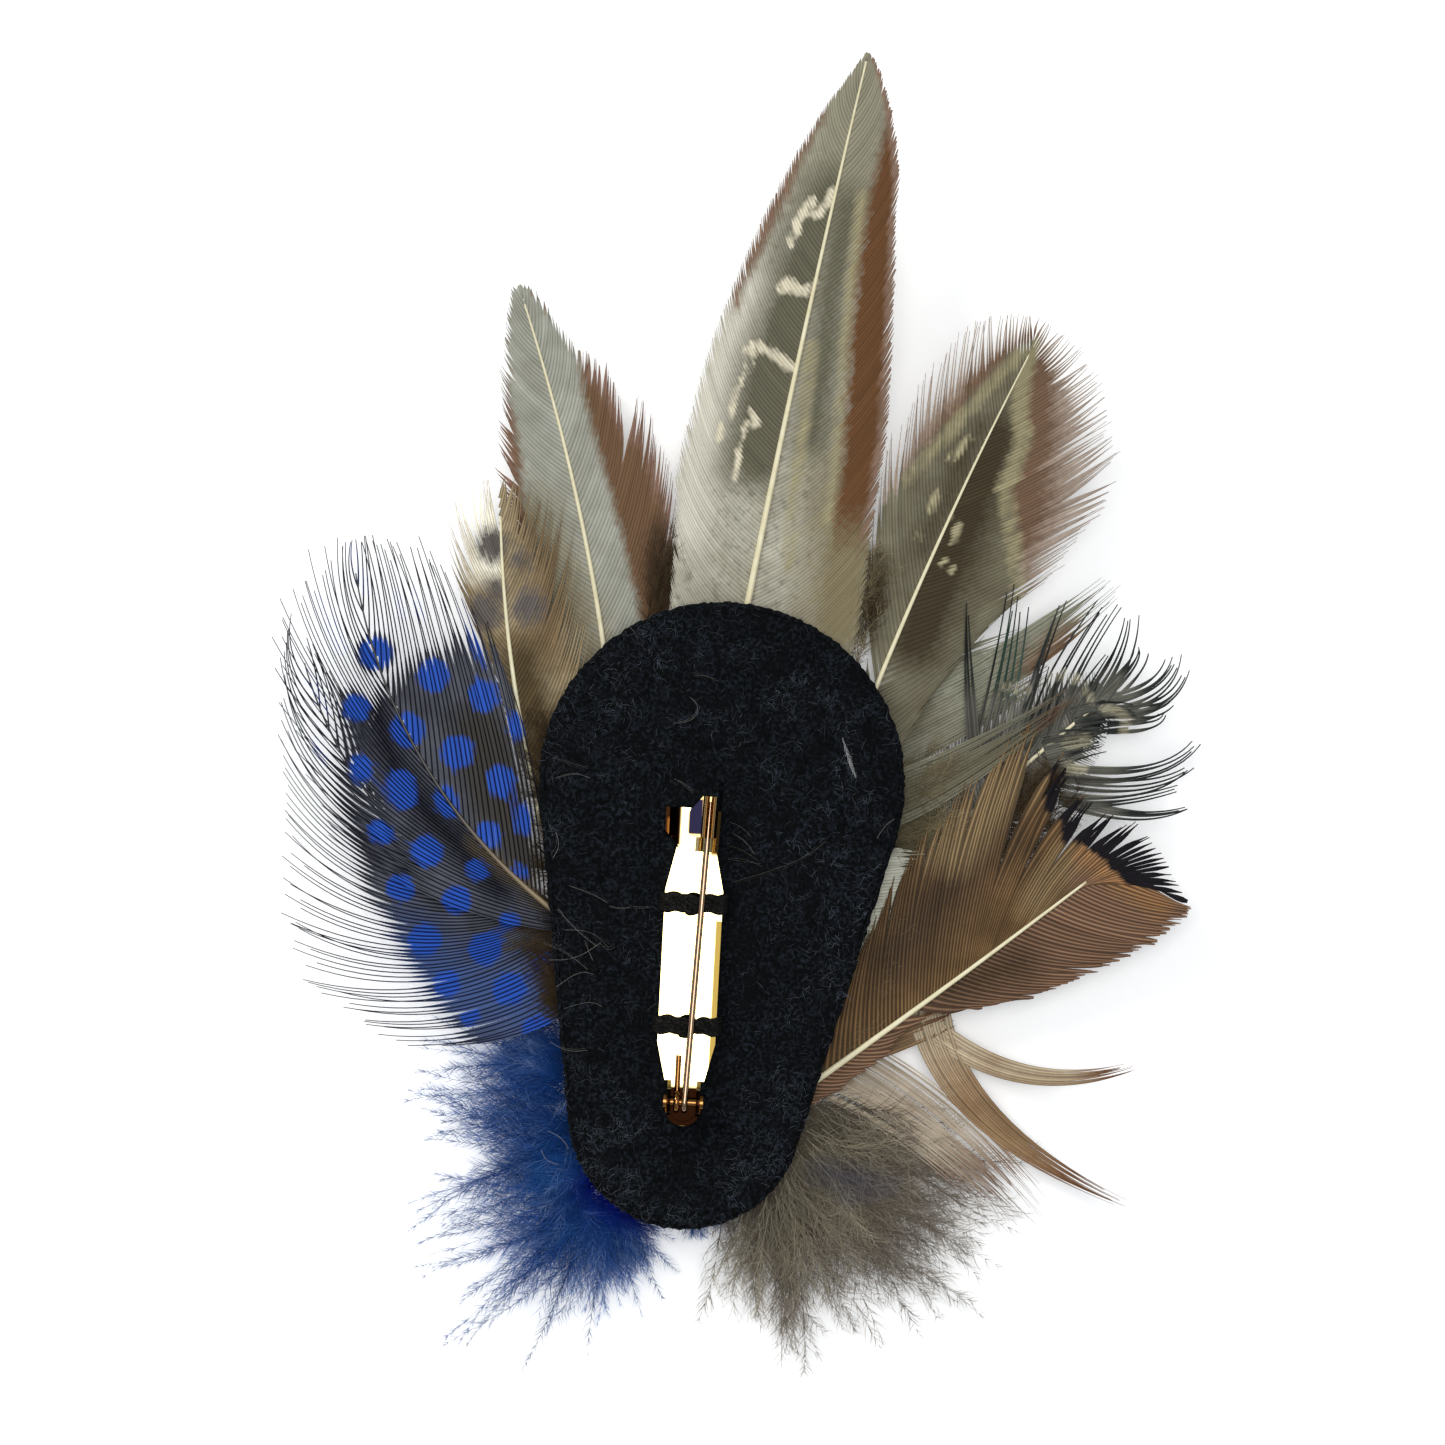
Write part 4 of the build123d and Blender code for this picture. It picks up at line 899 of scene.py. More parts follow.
vane(
    "spotted_feather_lower", 16, LOWER_QUILL, 1,
    [
        (-0.02, -31.6, -34), (0.02, -35.9, -33.1), (0.05, -40.3, -31.4), (0.08, -41.9, -30.1),
        (0.11, -42.6, -28.6), (0.14, -46, -26.9), (0.17, -47.3, -23.4), (0.2, -47.7, -18.8),
        (0.24, -47.7, -14.6), (0.28, -47.6, -11.3), (0.33, -48.1, -7.6), (0.38, -48.2, -4.2),
        (0.44, -48.3, -0.8), (0.52, -48.5, 3), (0.62, -48.6, 6.4), (0.75, -48.3, 9.2), (0.9, -47.7, 11.8),
    ],
    [
        (0.1, -25, -14.4), (0.2, -30.3, -10.4), (0.3, -35, -5.5), (0.4, -38.6, -0.7), (0.5, -41.4, 3),
        (0.65, -44.4, 6.9), (0.85, -46.3, 9.8),
    ],
    {
        **SPOTTED_LOOK, "left_bow": 26, "right_bow": 10,
        "membrane": lambda x, y: np.maximum(inside(x, y, WEB_LOWER), 3 * in_spots(x, y, SPOTS)),
    }, spotted_marking, spotted_paint, "spotted_vane", "spotted_feather_lower",
)
vane(
    "spotted_feather_upper", 17, UPPER_QUILL, 2,
    [
        (0.06, -42.2, -11.9), (0.12, -45.9, -5.5), (0.18, -48, 2), (0.24, -48.7, 8.9), (0.3, -48.1, 13),
        (0.36, -46.9, 14.5), (0.42, -46.1, 15.8), (0.5, -45.1, 17.8), (0.6, -43.6, 19),
        (0.7, -42.4, 19.5), (0.8, -41.7, 19.8), (0.92, -41.2, 20.1),
    ],
    [
        (0.06, -21.4, -12.9), (0.09, -22.1, -6.5), (0.12, -22.9, -1.2), (0.145, -23.9, 3.8),
        (0.17, -26.1, 8.9), (0.2, -28.8, 13.7), (0.235, -31, 16.3), (0.27, -32.6, 18.4),
        (0.32, -33.6, 19.2), (0.38, -35, 19.5), (0.44, -36.2, 19.7), (0.52, -37.3, 19.7),
        (0.6, -38.4, 19.9), (0.7, -39.4, 19.9), (0.8, -40.1, 19.9), (0.92, -40.6, 19.9),
    ],
    {
        **SPOTTED_LOOK, "left_bow": 17, "right_bow": 7, "right_splits": [(0.4, 0.7, 0.7, 0.03)],
        "membrane": lambda x, y: np.maximum(inside(x, y, WEB_UPPER), 3 * in_spots(x, y, SPOTS)),
    }, spotted_marking, spotted_paint, "spotted_vane", "spotted_feather_upper",
)
quill_dark, tree, shader = fresh_material("dark quill horn", 0.35)
horn = link_math(tree, "MULTIPLY_ADD", mark_value(tree, "share"), -3.4, 1.5, clamp=True)
feed(tree, shader.inputs["Base Color"], link_mix(tree, horn, paint(22, 20, 22), paint(122, 104, 72)))
quill_shaft("spotted_feather_lower", LOWER_QUILL, 1, 0.7, 0.12, 0.95, quill_dark, "spotted_vane", -0.1)
quill_shaft("spotted_feather_upper", UPPER_QUILL, 2, 0.75, 0.12, 0.95, quill_dark, "spotted_vane", -0.1)


# The barred feather at the right: cream bars across dark barbs whose green-black tips curl up
# towards the tall feather. Its vane has come apart into locks of a few barbs, each with a grey core.
BARRED_QUILL = (felt_point(0.62, 0.5), 46.1, 41.2, -7)
CREAM_BARS = [
    ([(33.7, 5.5), (35.1, 5.8), (36.5, 5.1)], 0.55),
    ([(39.3, 2.1), (40.6, 1.9), (41.5, 1), (41.3, -0.3)], 0.55), ([(35.5, -1.5), (37.2, -1.3)], 0.8),
    ([(35.5, -4.2), (36.8, -4.3)], 0.7), ([(28.3, 4.5), (31, 4.2)], 0.45),
    ([(37.2, 4.1), (37.8, 3)], 0.45),
]


def barred_marking(x, y, u, side):
    """Cream bars across the locks, black beyond them with a green gloss, and grey at the foot."""
    return {
        "bars": in_bands(x, y, CREAM_BARS),
        "tips": np.maximum(
            (u - (0.97 if side else 0.42)) * 14, near_line(x, y, [(37.6, 0.7), (39.9, 0.1)], 1.3),
        ), "green": near_line(x, y, [(28.4, 11.3), (29.3, 7.3), (28.8, 5.2)], 1.3),
        "sheer": EVERYWHERE if side else NOWHERE,
    }


barred_paint = vane_material(
    "barred feather vane", (104, 102, 94), (80, 78, 70), (1.25, 1.25, 1.22),
    [
        ("sheer", (150, 147, 138), 3.0, 0.5), ("tips", (10, 14, 14), 2.4, 0.3),
        ("green", (22, 62, 48), 1.4, 0.3), ("bars", (154, 148, 126), 0.5, 0.12),
    ], ridge_share=0.4, rough=0.42, tone_share=0.2, core=(76, 80, 76),
)
BARRED_LOOK = {
    **LOOK, "steps": 16, "fray": 0.16, "mess": 1.0, "web": 0.13, "web_end": 0.6, "web_fade": 0.3,
    "stem": 0.105, "thin": 0.6, "uneven": 0.05, "lift": 0.5, "swell": 0.1,
}
free_locks(
    "barred_feather_locks", 18,
    [
        (26.9, -1.6, 28.6, 5.2, 29.9, 13.5, 2.6, 2.2, 6),
        (29.9, -0.8, 32.2, 6.4, 34.6, 13.5, 0.7, 0.3, 3),
        (25.4, -2.7, 24.8, 5.2, 24.6, 12.9, 0.8, 0.5, 3),
        (32.7, -0.6, 35.1, 5.6, 39.3, 12.7, 3.2, 2.4, 6), (35.6, 1.3, 37.4, 4.5, 39.3, 7.6, 1.4, 0.6, 3),
        (37.6, 2.4, 40.5, 6.9, 41.6, 11.4, 1.8, 1.2, 4), (38.2, 2.5, 41.9, 5.9, 43.3, 8.4, 1.6, 1.3, 4),
        (38.4, 2.4, 43.8, 3.9, 46.4, 7.1, 2.2, 2.0, 6), (39.9, 1.8, 45, 2.6, 47.9, 5.8, 1.0, 0.5, 3),
        (39.7, 1.3, 43.9, 1.8, 46.1, 2.8, 1.4, 0.6, 3), (39.5, 0.5, 43.5, 0.7, 45, 1.6, 1.6, 0.6, 3),
        (36.1, 0.5, 39, 1.1, 42, 1.1, 3.4, 2.8, 9), (32.9, -2.5, 35.6, -1.8, 39, -1.3, 3.4, 2.2, 9),
        (32.7, -4.4, 42.7, -4.8, 48.7, -1.8, 1.8, 0.5, 4),
        (32.9, -5.5, 42.2, -6.4, 48.3, -4.1, 1.9, 0.5, 4),
        (34.4, -7.6, 40.3, -7.8, 46.8, -6.5, 0.9, 0.6, 3), (35, -7.6, 42, -9.2, 47.7, -8.4, 1.0, 0.8, 4),
        (30.3, -1.8, 32.2, 1.8, 33.5, 6, 2.8, 2.2, 6),
    ], LAYERS[1] + 0.4, BARRED_LOOK, barred_marking, barred_paint, "barred_vane", "barred_feather",
)
vane(
    "barred_feather_inner", 19, BARRED_QUILL, 0,
    [
        (0.2, 15.2, -7.6), (0.35, 20, -1.2), (0.5, 25.3, 3), (0.65, 30.1, 5.2), (0.8, 33.8, 6),
        (0.95, 38.6, 6),
    ],
    [
        (0.2, 20.5, -18.2), (0.4, 28, -14), (0.55, 33.3, -9.7), (0.7, 37, -6.5), (0.85, 39.1, -2.3),
        (0.95, 41, 2),
    ], {**LOOK, "fray": 0.1, "web": 0.2, "web_end": 0.8, "web_fade": 0.3}, barred_marking, barred_paint,
    "barred_vane",
)
quill_shaft("barred_feather", BARRED_QUILL, 1, 0.7, 0.3, 0.95, quill_cream, "barred_vane")


# The brown feather, lower right: warm brown barbs that part into ribbons above the quill, each
# ribbon with a black end, and an unbroken blade below it. Its barbs are paler than their webs.
BROWN_QUILL = (felt_point(0.13, 1.06), 34.7, 48.4, 3)
BROWN_ENDS = [
    (32.7, -8.9), (33.5, -3.4), (36.1, -2.9), (36.5, -7.4), (40.7, -7.6), (45.5, -10.3), (49.3, -18.8),
    (46.7, -18.6), (44.1, -17.5), (42, -17), (39.3, -14.2), (36.7, -12.1), (35, -12.7), (34.4, -9.2),
]


def brown_marking(x, y, u, side):
    """Black ends above the quill, darker brown at its middle, pale orange before the ends."""
    if side < 0:
        return {
            "ends": NOWHERE, "deep": near_line(x, y, [(22.7, -27.8), (26.9, -26.2), (30.1, -25.2)], 1.8),
            "blade": EVERYWHERE, "straw": NOWHERE,
            "glow": near_line(x, y, [(37, -13.1), (40.7, -16.1), (45, -18.8)], 1.2),
        }
    return {
        "ends": inside(x, y, BROWN_ENDS),
        "deep": near_line(x, y, [(16.3, -24.6), (21.6, -18.2), (26.4, -10.8)], 3.0),
        "blade": near_line(x, y, [(36.5, -16.1), (41.3, -17.7), (47.1, -19.8)], 1.5),
        "straw": in_bands(
            x, y,
            [
                ([(31.7, -18.8), (34.9, -14), (37.6, -12.9)], 1.3),
                ([(22.7, -12.9), (26.9, -7.6), (31.7, -3.9)], 2.6),
            ],
        ), "glow": near_line(x, y, [(37, -13.1), (40.7, -16.1), (45, -18.8)], 1.2),
    }


brown_paint = vane_material(
    "brown feather vane", (76, 57, 36), (58, 43, 26), (3.7, 3.8, 3.8),
    [
        ("blade", (80, 60, 46), 2.0, 0.3), ("deep", (46, 34, 23), 5.0, 0.8),
        ("straw", (84, 69, 48), 3.0, 0.4), ("glow", (94, 68, 44), 2.0, 0.5),
        ("ends", (8, 6, 10), 0.45, 0.2),
    ], ridge_share=0.95, tone_share=0.1,
)
vane(
    "brown_feather", 20, BROWN_QUILL, 2,
    [
        (0.06, 6.2, -36.9), (0.1, 8, -34), (0.15, 10.1, -30.8), (0.25, 12.9, -24.6), (0.35, 16.8, -16.6),
        (0.43, 20.5, -10.8), (0.5, 25.3, -5.3), (0.56, 29.6, -1.4), (0.605, 32.8, 0.5),
        (0.64, 34.6, -4.2), (0.7, 37.3, -8), (0.76, 39.9, -9.4), (0.82, 42.9, -10.5), (0.87, 45, -12.6),
        (0.91, 46.5, -15.6), (0.94, 47.6, -17.9), (0.965, 48, -18.5), (0.985, 48.1, -18.8),
    ],
    [
        (0.05, 6.7, -41), (0.15, 10.7, -38.7), (0.27, 15.2, -35.3), (0.36, 18.9, -31.6),
        (0.42, 22.4, -29.9), (0.5, 28.3, -29.5), (0.58, 33.2, -28.2), (0.66, 38, -26), (0.74, 41.8, -24),
        (0.82, 44.8, -22.3), (0.88, 46.7, -21.1), (0.92, 48, -20.1), (0.94, 48.3, -19.3),
        (0.965, 48.2, -19), (0.985, 48.2, -18.9),
    ],
    {
        **LOOK, "spacing": 0.38, "fray": 0.1, "left_web_end": 0.97, "right_web_end": 1.04, "steps": 16,
        "bow": 9, "ease": 4, "uneven": 0.012, "stem": 0.045, "right_bow": 13, "thin": 0.3, "clump": 0.15,
        "web_low": 0.6, "web": 0.45, "membrane": lambda x, y: 1.8 - 0.8 * inside(x, y, BROWN_ENDS),
        "left_splits": [
            (0.36, 0.35, 0.4, 0.02), (0.44, 0.4, 0.5, 0.02), (0.52, 0.35, 0.6, 0.02),
            (0.62, 0.3, 1.7, 0.035), (0.67, 0.35, 1.3, 0.03), (0.725, 0.4, 1.0, 0.025),
            (0.78, 0.6, 0.5, 0.02), (0.83, 0.6, 0.5, 0.02),
        ],
    }, brown_marking, brown_paint, "brown_vane", "brown_feather",
)
quill_shaft("brown_feather", BROWN_QUILL, 2, 0.85, 0.25, 0.93, quill_cream, "brown_vane")


# Under it lies one more brown feather, of which ribbons trail to the lower right, and a sheer one
# of parted hair beside them.
UNDER_LOOK = {
    **LOOK, "fray": 0.1, "mess": 0.7, "web_end": 0.98, "web_fade": 0.15, "swell": 0.1, "steps": 18,
    "uneven": 0.02,
}
under_paint = vane_material(
    "trailing brown ribbons", (126, 104, 80), (104, 84, 60), (2.1, 2.0, 1.9),
    [("pale", (150, 138, 118), 3.0, 0.5), ("tip", (94, 66, 46), 3.0, 0.6)], ridge_share=0.9,
    tone_share=0.08,
)


def under_marking(x, y, u, side):
    """Pale at the foot and in the upper ribbon, darker at the tip."""
    return {
        "tip": (u - 0.8) * 16,
        "pale": np.maximum((0.3 - u) * 10, near_line(x, y, [(29, -36.3), (40.7, -36.9)], 1.2)),
    }


free_locks(
    "under_feather_ribbons", 21,
    [
        (20.3, -27.8, 25.6, -40.4, 40.3, -50.4, 4.2, 0.8, 15),
        (21.6, -32.7, 31.2, -37.1, 41.9, -36.3, 2.0, 0.7, 8),
        (9.9, -34.2, 16.3, -32.1, 22.7, -29.9, 5.0, 4.0, 16),
    ], LAYERS[0], UNDER_LOOK, under_marking, under_paint, "brown_vane", "under_feather",
)
sheer_paint = vane_material(
    "sheer brown hair", (184, 172, 154), (160, 146, 128), (1.2, 1.18, 1.15),
    [("tip", (132, 108, 92), 4.0, 0.6)], ridge_share=0.6, tone_share=0.12,
)
free_locks(
    "under_feather_sheer_strip", 22,
    [
        (11, -35.5, 20.5, -41.6, 29.9, -50.2, 6.0, 5.0, 44),
        (8.8, -37.9, 17.3, -42.2, 26.4, -49.1, 3.0, 3.6, 20),
    ], LAYERS[0] - 0.3,
    {**UNDER_LOOK, "web": 0.04, "stem": 0.04, "fray": 0.3, "mess": 2.0, "uneven": 0.06}, under_marking,
    sheer_paint, "brown_vane",
)


# The down: soft feathers without a firm vane, dyed blue at the lower left and left grey brown at
# the lower right. Each stem carries loose barbules to both sides, longest near its foot.
DOWN_STEPS = 14


def strands(paths, half):
    """Thin three-sided threads along paths, half as wide as given at each point."""
    turn = np.radians([90, 210, 330])
    return hair(paths, half * np.cos(turn), half * np.sin(turn))


def down(name, seed, locks, z, look, material, slot, node=None):
    """Stems rise in locks (root x, y, heading, length, turn), so many to a lock, each an arc with a
    small wave that draws in to the lock's tip. Barbules leave a stem at shares of its length, swept
    forward, as thin hairs that shorten towards its tip."""
    rng = np.random.default_rng(seed)
    rows = np.repeat(np.array(locks, float), look["stems"], axis=0)
    count, number = len(rows), look["barbules"]
    each, many = (count, 1), (count, number)
    spread = rng.uniform(-1, 1, count)
    heading = np.radians(rows[:, 2] + spread * look["fan"])[:, None]
    length = rows[:, 3] * (1 - look["short"] * rng.random(count) ** 1.5) * (1 - 0.12 * abs(spread))
    turn = rows[:, 4] + rng.normal(size=count) * look["bend"] - spread * look["fan"] * look["gather"]
    u = np.linspace(0, 1, DOWN_STEPS + 1)[None, :]
    swing, phase = rng.uniform(3, 7, each), rng.uniform(0, 6, each)
    wave = rng.normal(size=each) * look["wave"] * np.sin(u * swing + phase) * u
    way = heading + np.radians(turn)[:, None] * u + wave
    step = length[:, None] / DOWN_STEPS
    foot = rows[:, :2] + rng.normal(size=(count, 2)) * look["foot"]
    x = foot[:, :1] + np.cumsum(np.cos(way), 1) * step - np.cos(way[:, :1]) * step
    y = foot[:, 1:] + np.cumsum(np.sin(way), 1) * step - np.sin(way[:, :1]) * step
    level = rng.uniform(0.1, 0.9, each)
    high = z + dish(x, y) + look["thick"] * (level + rng.normal(size=each) * 0.12 * u)
    stems = np.stack([x, y, high], -1)
    points, faces = strands(stems, (look["stem"] * (1 - 0.75 * u) + 0 * x)[..., None])
    own = rng.normal(size=count)
    corners = 3 * (DOWN_STEPS + 1)
    stem_marks = {
        "out": np.repeat(u + 0 * x, 3), "tone": np.repeat(own, corners), "fine": np.zeros(len(points)),
    }

    share = np.sort(rng.uniform(look["bare"], 0.97, many), 1)
    low = np.minimum((share * DOWN_STEPS).astype(int), DOWN_STEPS - 1)
    part = (share * DOWN_STEPS - low)[..., None]
    pick = np.arange(count)[:, None]
    base = stems[pick, low] * (1 - part) + stems[pick, low + 1] * part
    swept = np.radians(look["sweep"] * (1 + 0.3 * rng.normal(size=many)))
    ahead = way[pick, low] + np.where(np.arange(number) % 2, 1, -1) * swept
    size = look["fluff"] * (1 - share ** look["blunt"] * 0.85) * rng.uniform(0.45, 1.15, many)
    rise = rng.normal(size=many) * 0.16 * size
    tip = base + np.stack([np.cos(ahead) * size, np.sin(ahead) * size, rise], -1)
    ground = z + dish(tip[..., 0], tip[..., 1])
    tip[..., 2] = np.clip(tip[..., 2], ground - 0.1, ground + look["thick"] + 0.15)
    bend = np.stack([-np.sin(ahead), np.cos(ahead), 0 * ahead], -1)
    bend = bend * (rng.normal(size=many) * look["curl"] * size)[..., None]
    paths = np.stack([base, (base + tip) / 2 + bend, tip], 2).reshape(-1, 3, 3)
    thin = np.tile(np.array([1.0, 0.7, 0.25]) * look["hair"], (len(paths), 1))[..., None]
    fluff_marks = {
        "out": np.repeat(share, 9),
        "tone": np.repeat((rng.normal(size=many) * 0.6 + own[:, None] * 0.8), 9),
        "fine": np.tile(np.repeat([0.4, 0.8, 1.0], 3), len(paths)),
    }
    points, faces, marks = joined([(points, faces, stem_marks), (*strands(paths, thin), fluff_marks)])
    marks["stain_and_shade"] = in_bands(points[:, 0], points[:, 1], look["stain_and_shade_lines"])
    put_piece(name, points, faces, marks, material, slot, node)


def down_material(name, near, middle, far, stem, patch, stain_and_shade):
    """Down whose barbules run through three colours from the root outwards, whose stems are of one colour
    beyond the root, with patches of a fifth, and tinted by a sixth about some lines: a stain on the blue
    and the grey brown down, and on the bed partly a painted shadow beside the felt."""
    made, tree, shader = fresh_material(name, 0.8, 0.1)
    near, middle, far, stem, patch, stain_and_shade = (paint(*c) for c in (near, middle, far, stem, patch, stain_and_shade))
    out = mark_value(tree, "out")
    first = link_math(tree, "MULTIPLY_ADD", out, 2.6, -0.5, clamp=True)
    second = link_math(tree, "MULTIPLY_ADD", out, 2.4, -1.2, clamp=True)
    fuzz = link_mix(tree, second, link_mix(tree, first, near, middle), far)
    blot = link_math(tree, "MULTIPLY_ADD", fine_noise(tree, 170, 2.0), 5.0, -2.7, clamp=True)
    fuzz = link_mix(tree, link_math(tree, "MULTIPLY", blot, 0.6), fuzz, patch)
    colour = link_mix(tree, mark_value(tree, "fine"), link_mix(tree, first, near, stem), fuzz)
    stain_and_shade_share = link_math(tree, "MULTIPLY_ADD", mark_value(tree, "stain_and_shade"), 0.3, 0.5, clamp=True)
    colour = link_mix(tree, stain_and_shade_share, colour, stain_and_shade)
    colour = use_group(
        tree, barb_group, Colour=colour, Ridge_colour=colour, Tone=mark_value(tree, "tone"),
        Tone_share=0.2,
    )
    feed(tree, shader.inputs["Base Color"], colour)
    return made


def from_root(x, y, *rows):
    """Locks that share one root: heading, length and turn of each."""
    return [(x, y, *row) for row in rows]


def shortened(locks, share):
    """The same locks with only a share of their length."""
    return [(x, y, heading, length * share, turn) for x, y, heading, length, turn in locks]


blue_paint = down_material(
    "dyed blue down", (20, 60, 124), (66, 110, 182), (134, 160, 204), (26, 54, 114), (40, 102, 174),
    (2, 14, 128),
)
BLUE_LOCKS = from_root(
    -14.6, -51, (-40, 8.6, 8), (-54, 10.2, 6), (-66, 11.0, 8), (-78, 12.4, 8), (-91, 14.0, 6),
    (-106, 18.4, -6), (-120, 24.0, 2), (-131, 19.5, -6), (-143, 23.8, 4), (-155, 21.0, -4),
    (-166, 23.6, 3), (-179, 20.5, -6),
)
BLUE_LOCKS += from_root(
    -17.2, -44.8, (-112, 8.0, 4), (-136, 10.0, -4), (-150, 19.0, -4), (-163, 20.4, 5), (-176, 18.4, -6),
    (171, 20.4, -4), (159, 19.4, 4), (147, 13.0, 4),
)
BLUE_LOCKS += from_root(-18.3, -37.4, (-168, 14.4, -4), (176, 18.4, 4), (163, 15.8, -6), (146, 9.0, 4))
BLUE_LOCKS += [
    (-18, -34, -176, 13, 4), (-17.6, -33.8, 168, 8, 4), (-14.8, -48, -152, 8, 4),
    (-16.7, -40.8, -170, 7, 4), (-8.7, -48, -110, 4.4, 0), (-8.7, -48, -88, 4.4, 0),
    (-4.5, -48.9, -92, 4.4, 0), (-4.5, -48.9, -70, 4.4, 0),
]
BLUE_LOOK = dict(
    stems=7, fan=6.5, short=0.6, bend=7, wave=0.13, foot=1.4, thick=1.6, stem=0.045, barbules=56,
    bare=0.06, sweep=25, fluff=3.3, hair=0.03, gather=1.2, curl=0.07, blunt=1.5,
    stain_and_shade_lines=[([(-15.4, -48.9), (-12.9, -51), (-10.3, -52.3)], 1.8)],
)
down("blue_down_fluff", 31, BLUE_LOCKS, 1.2, BLUE_LOOK, blue_paint, "blue_down", "blue_down")
down(
    "blue_down_soft_bed", 35, shortened(BLUE_LOCKS, 0.6), 1.0,
    {
        **BLUE_LOOK, "stems": 8, "fluff": 4.2, "sweep": 36, "short": 0.35, "stem": 0.03, "blunt": 3.0,
        "barbules": 46,
    }, blue_paint, "blue_down",
)

brown_down_paint = down_material(
    "grey brown down", (132, 123, 106), (138, 127, 111), (166, 156, 143), (90, 81, 69), (106, 95, 82),
    (102, 102, 116),
)
BROWN_LOCKS = from_root(
    4, -42.7, (-103, 16.0, -4), (-95, 21.6, -4), (-87, 26.0, -3), (-79, 27.0, -4), (-70, 22.6, 4),
    (-60, 27.6, 3), (-53, 28.0, 3), (-47, 23.0, 4), (-40, 27.0, 3), (-33, 29.0, 3), (-26, 27.4, 4),
    (-18, 29.4, 3), (-10, 24.0, -5), (0, 20.0, -6),
)
BROWN_LOOK = {
    **BLUE_LOOK, "stems": 10, "fluff": 3.8, "sweep": 24, "wave": 0.3, "bend": 8, "barbules": 86,
    "short": 0.22, "bare": 0.05, "stem": 0.035, "curl": 0.16, "gather": 1.1, "blunt": 5.0, "foot": 1.8,
    "fan": 4.0, "stain_and_shade_lines": [([(8.8, -47.6), (14.1, -48.5)], 0.7), ([(11.6, -50.2), (16.3, -49.1)], 0.2)],
}
down("brown_down_fluff", 32, BROWN_LOCKS, 1.2, BROWN_LOOK, brown_down_paint, "brown_down", "brown_down")
down(
    "brown_down_soft_bed", 36, shortened(BROWN_LOCKS, 0.8), 1.6,
    {**BROWN_LOOK, "stems": 8, "fluff": 4.6, "sweep": 32, "barbules": 74}, brown_down_paint, "brown_down",
)
pale_down_paint = down_material(
    "pale hairs of the grey down", (160, 152, 132), (158, 149, 130), (172, 163, 146), (150, 141, 122),
    (132, 124, 108), (102, 102, 116),
)
down(
    "brown_down_pale_hairs", 37,
    [
        (3.7, -49.7, -80, 12, 14), (5, -47.6, -66, 13, -16), (6.3, -45.9, -56, 12, 20),
        (7.3, -44.4, -44, 13, -14), (4.1, -51.2, -96, 12, 14), (5.9, -48.9, -62, 14, 26),
        (8.4, -42.5, -34, 13, 12), (9.9, -40.8, -28, 14, -10), (2.4, -51.9, -100, 11, -12),
    ], 3.0,
    {
        **BROWN_LOOK, "stems": 6, "barbules": 22, "fluff": 4.4, "sweep": 14, "wave": 0.5, "bend": 22,
        "fan": 10.0, "hair": 0.026, "stem": 0.034, "foot": 0.9, "curl": 0.3,
    }, pale_down_paint, "brown_down",
)


# The bed of fluff that the feathers' feet leave between them: brown down under everything, seen in
# the gaps beside the felt, and tufts of it that come up between the feathers.
bed_paint = down_material(
    "brown bed fluff", (88, 74, 50), (110, 94, 66), (150, 134, 100), (96, 80, 54), (70, 54, 36),
    (38, 52, 88),
)
BED_LOCKS = from_root(
    HEAD_X, HEAD_Y, (-54, 28.6, 4), (-43, 27.0, 4), (-29, 24.5, 3), (-14, 25.4, 3), (0, 24.8, 4),
    (16, 23.5, 3), (30, 24.5, 3), (43, 26.2, -3), (57, 28.6, -4), (72, 24.0, 3), (88, 23.5, 3),
    (104, 27.0, -3), (120, 23.5, 3), (136, 22.0, 3), (152, 21.0, 3), (168, 20.8, 3), (-176, 20.8, 3),
    (-160, 21.4, 3), (-146, 23.0, -3), (-132, 28.5, -3),
) + [(TAIL_X, TAIL_Y, heading, 12.6, 3) for heading in range(-160, -10, 20)]
BED_LOOK = {
    **BLUE_LOOK, "stems": 9, "fan": 10.0, "fluff": 3.0, "sweep": 30, "wave": 0.35, "bend": 16,
    "foot": 2.0, "thick": 2.0, "bare": 0.4, "barbules": 48, "short": 0.3, "gather": 0.0, "curl": 0.15,
    # this line hugs the felt's lower left edge; the dark violet blue there is partly the blue of the down
    # beside it and partly a painted shadow of the felt
    "stain_and_shade_lines": [([(-17.2, -33.1), (-18, -38.5), (-15.6, -45.9), (-13, -50.6), (-5, -53.4)], 2.6)],
}
down("bed_fluff", 33, BED_LOCKS, 0.6, BED_LOOK, bed_paint, "fluff", "fluff_bed")

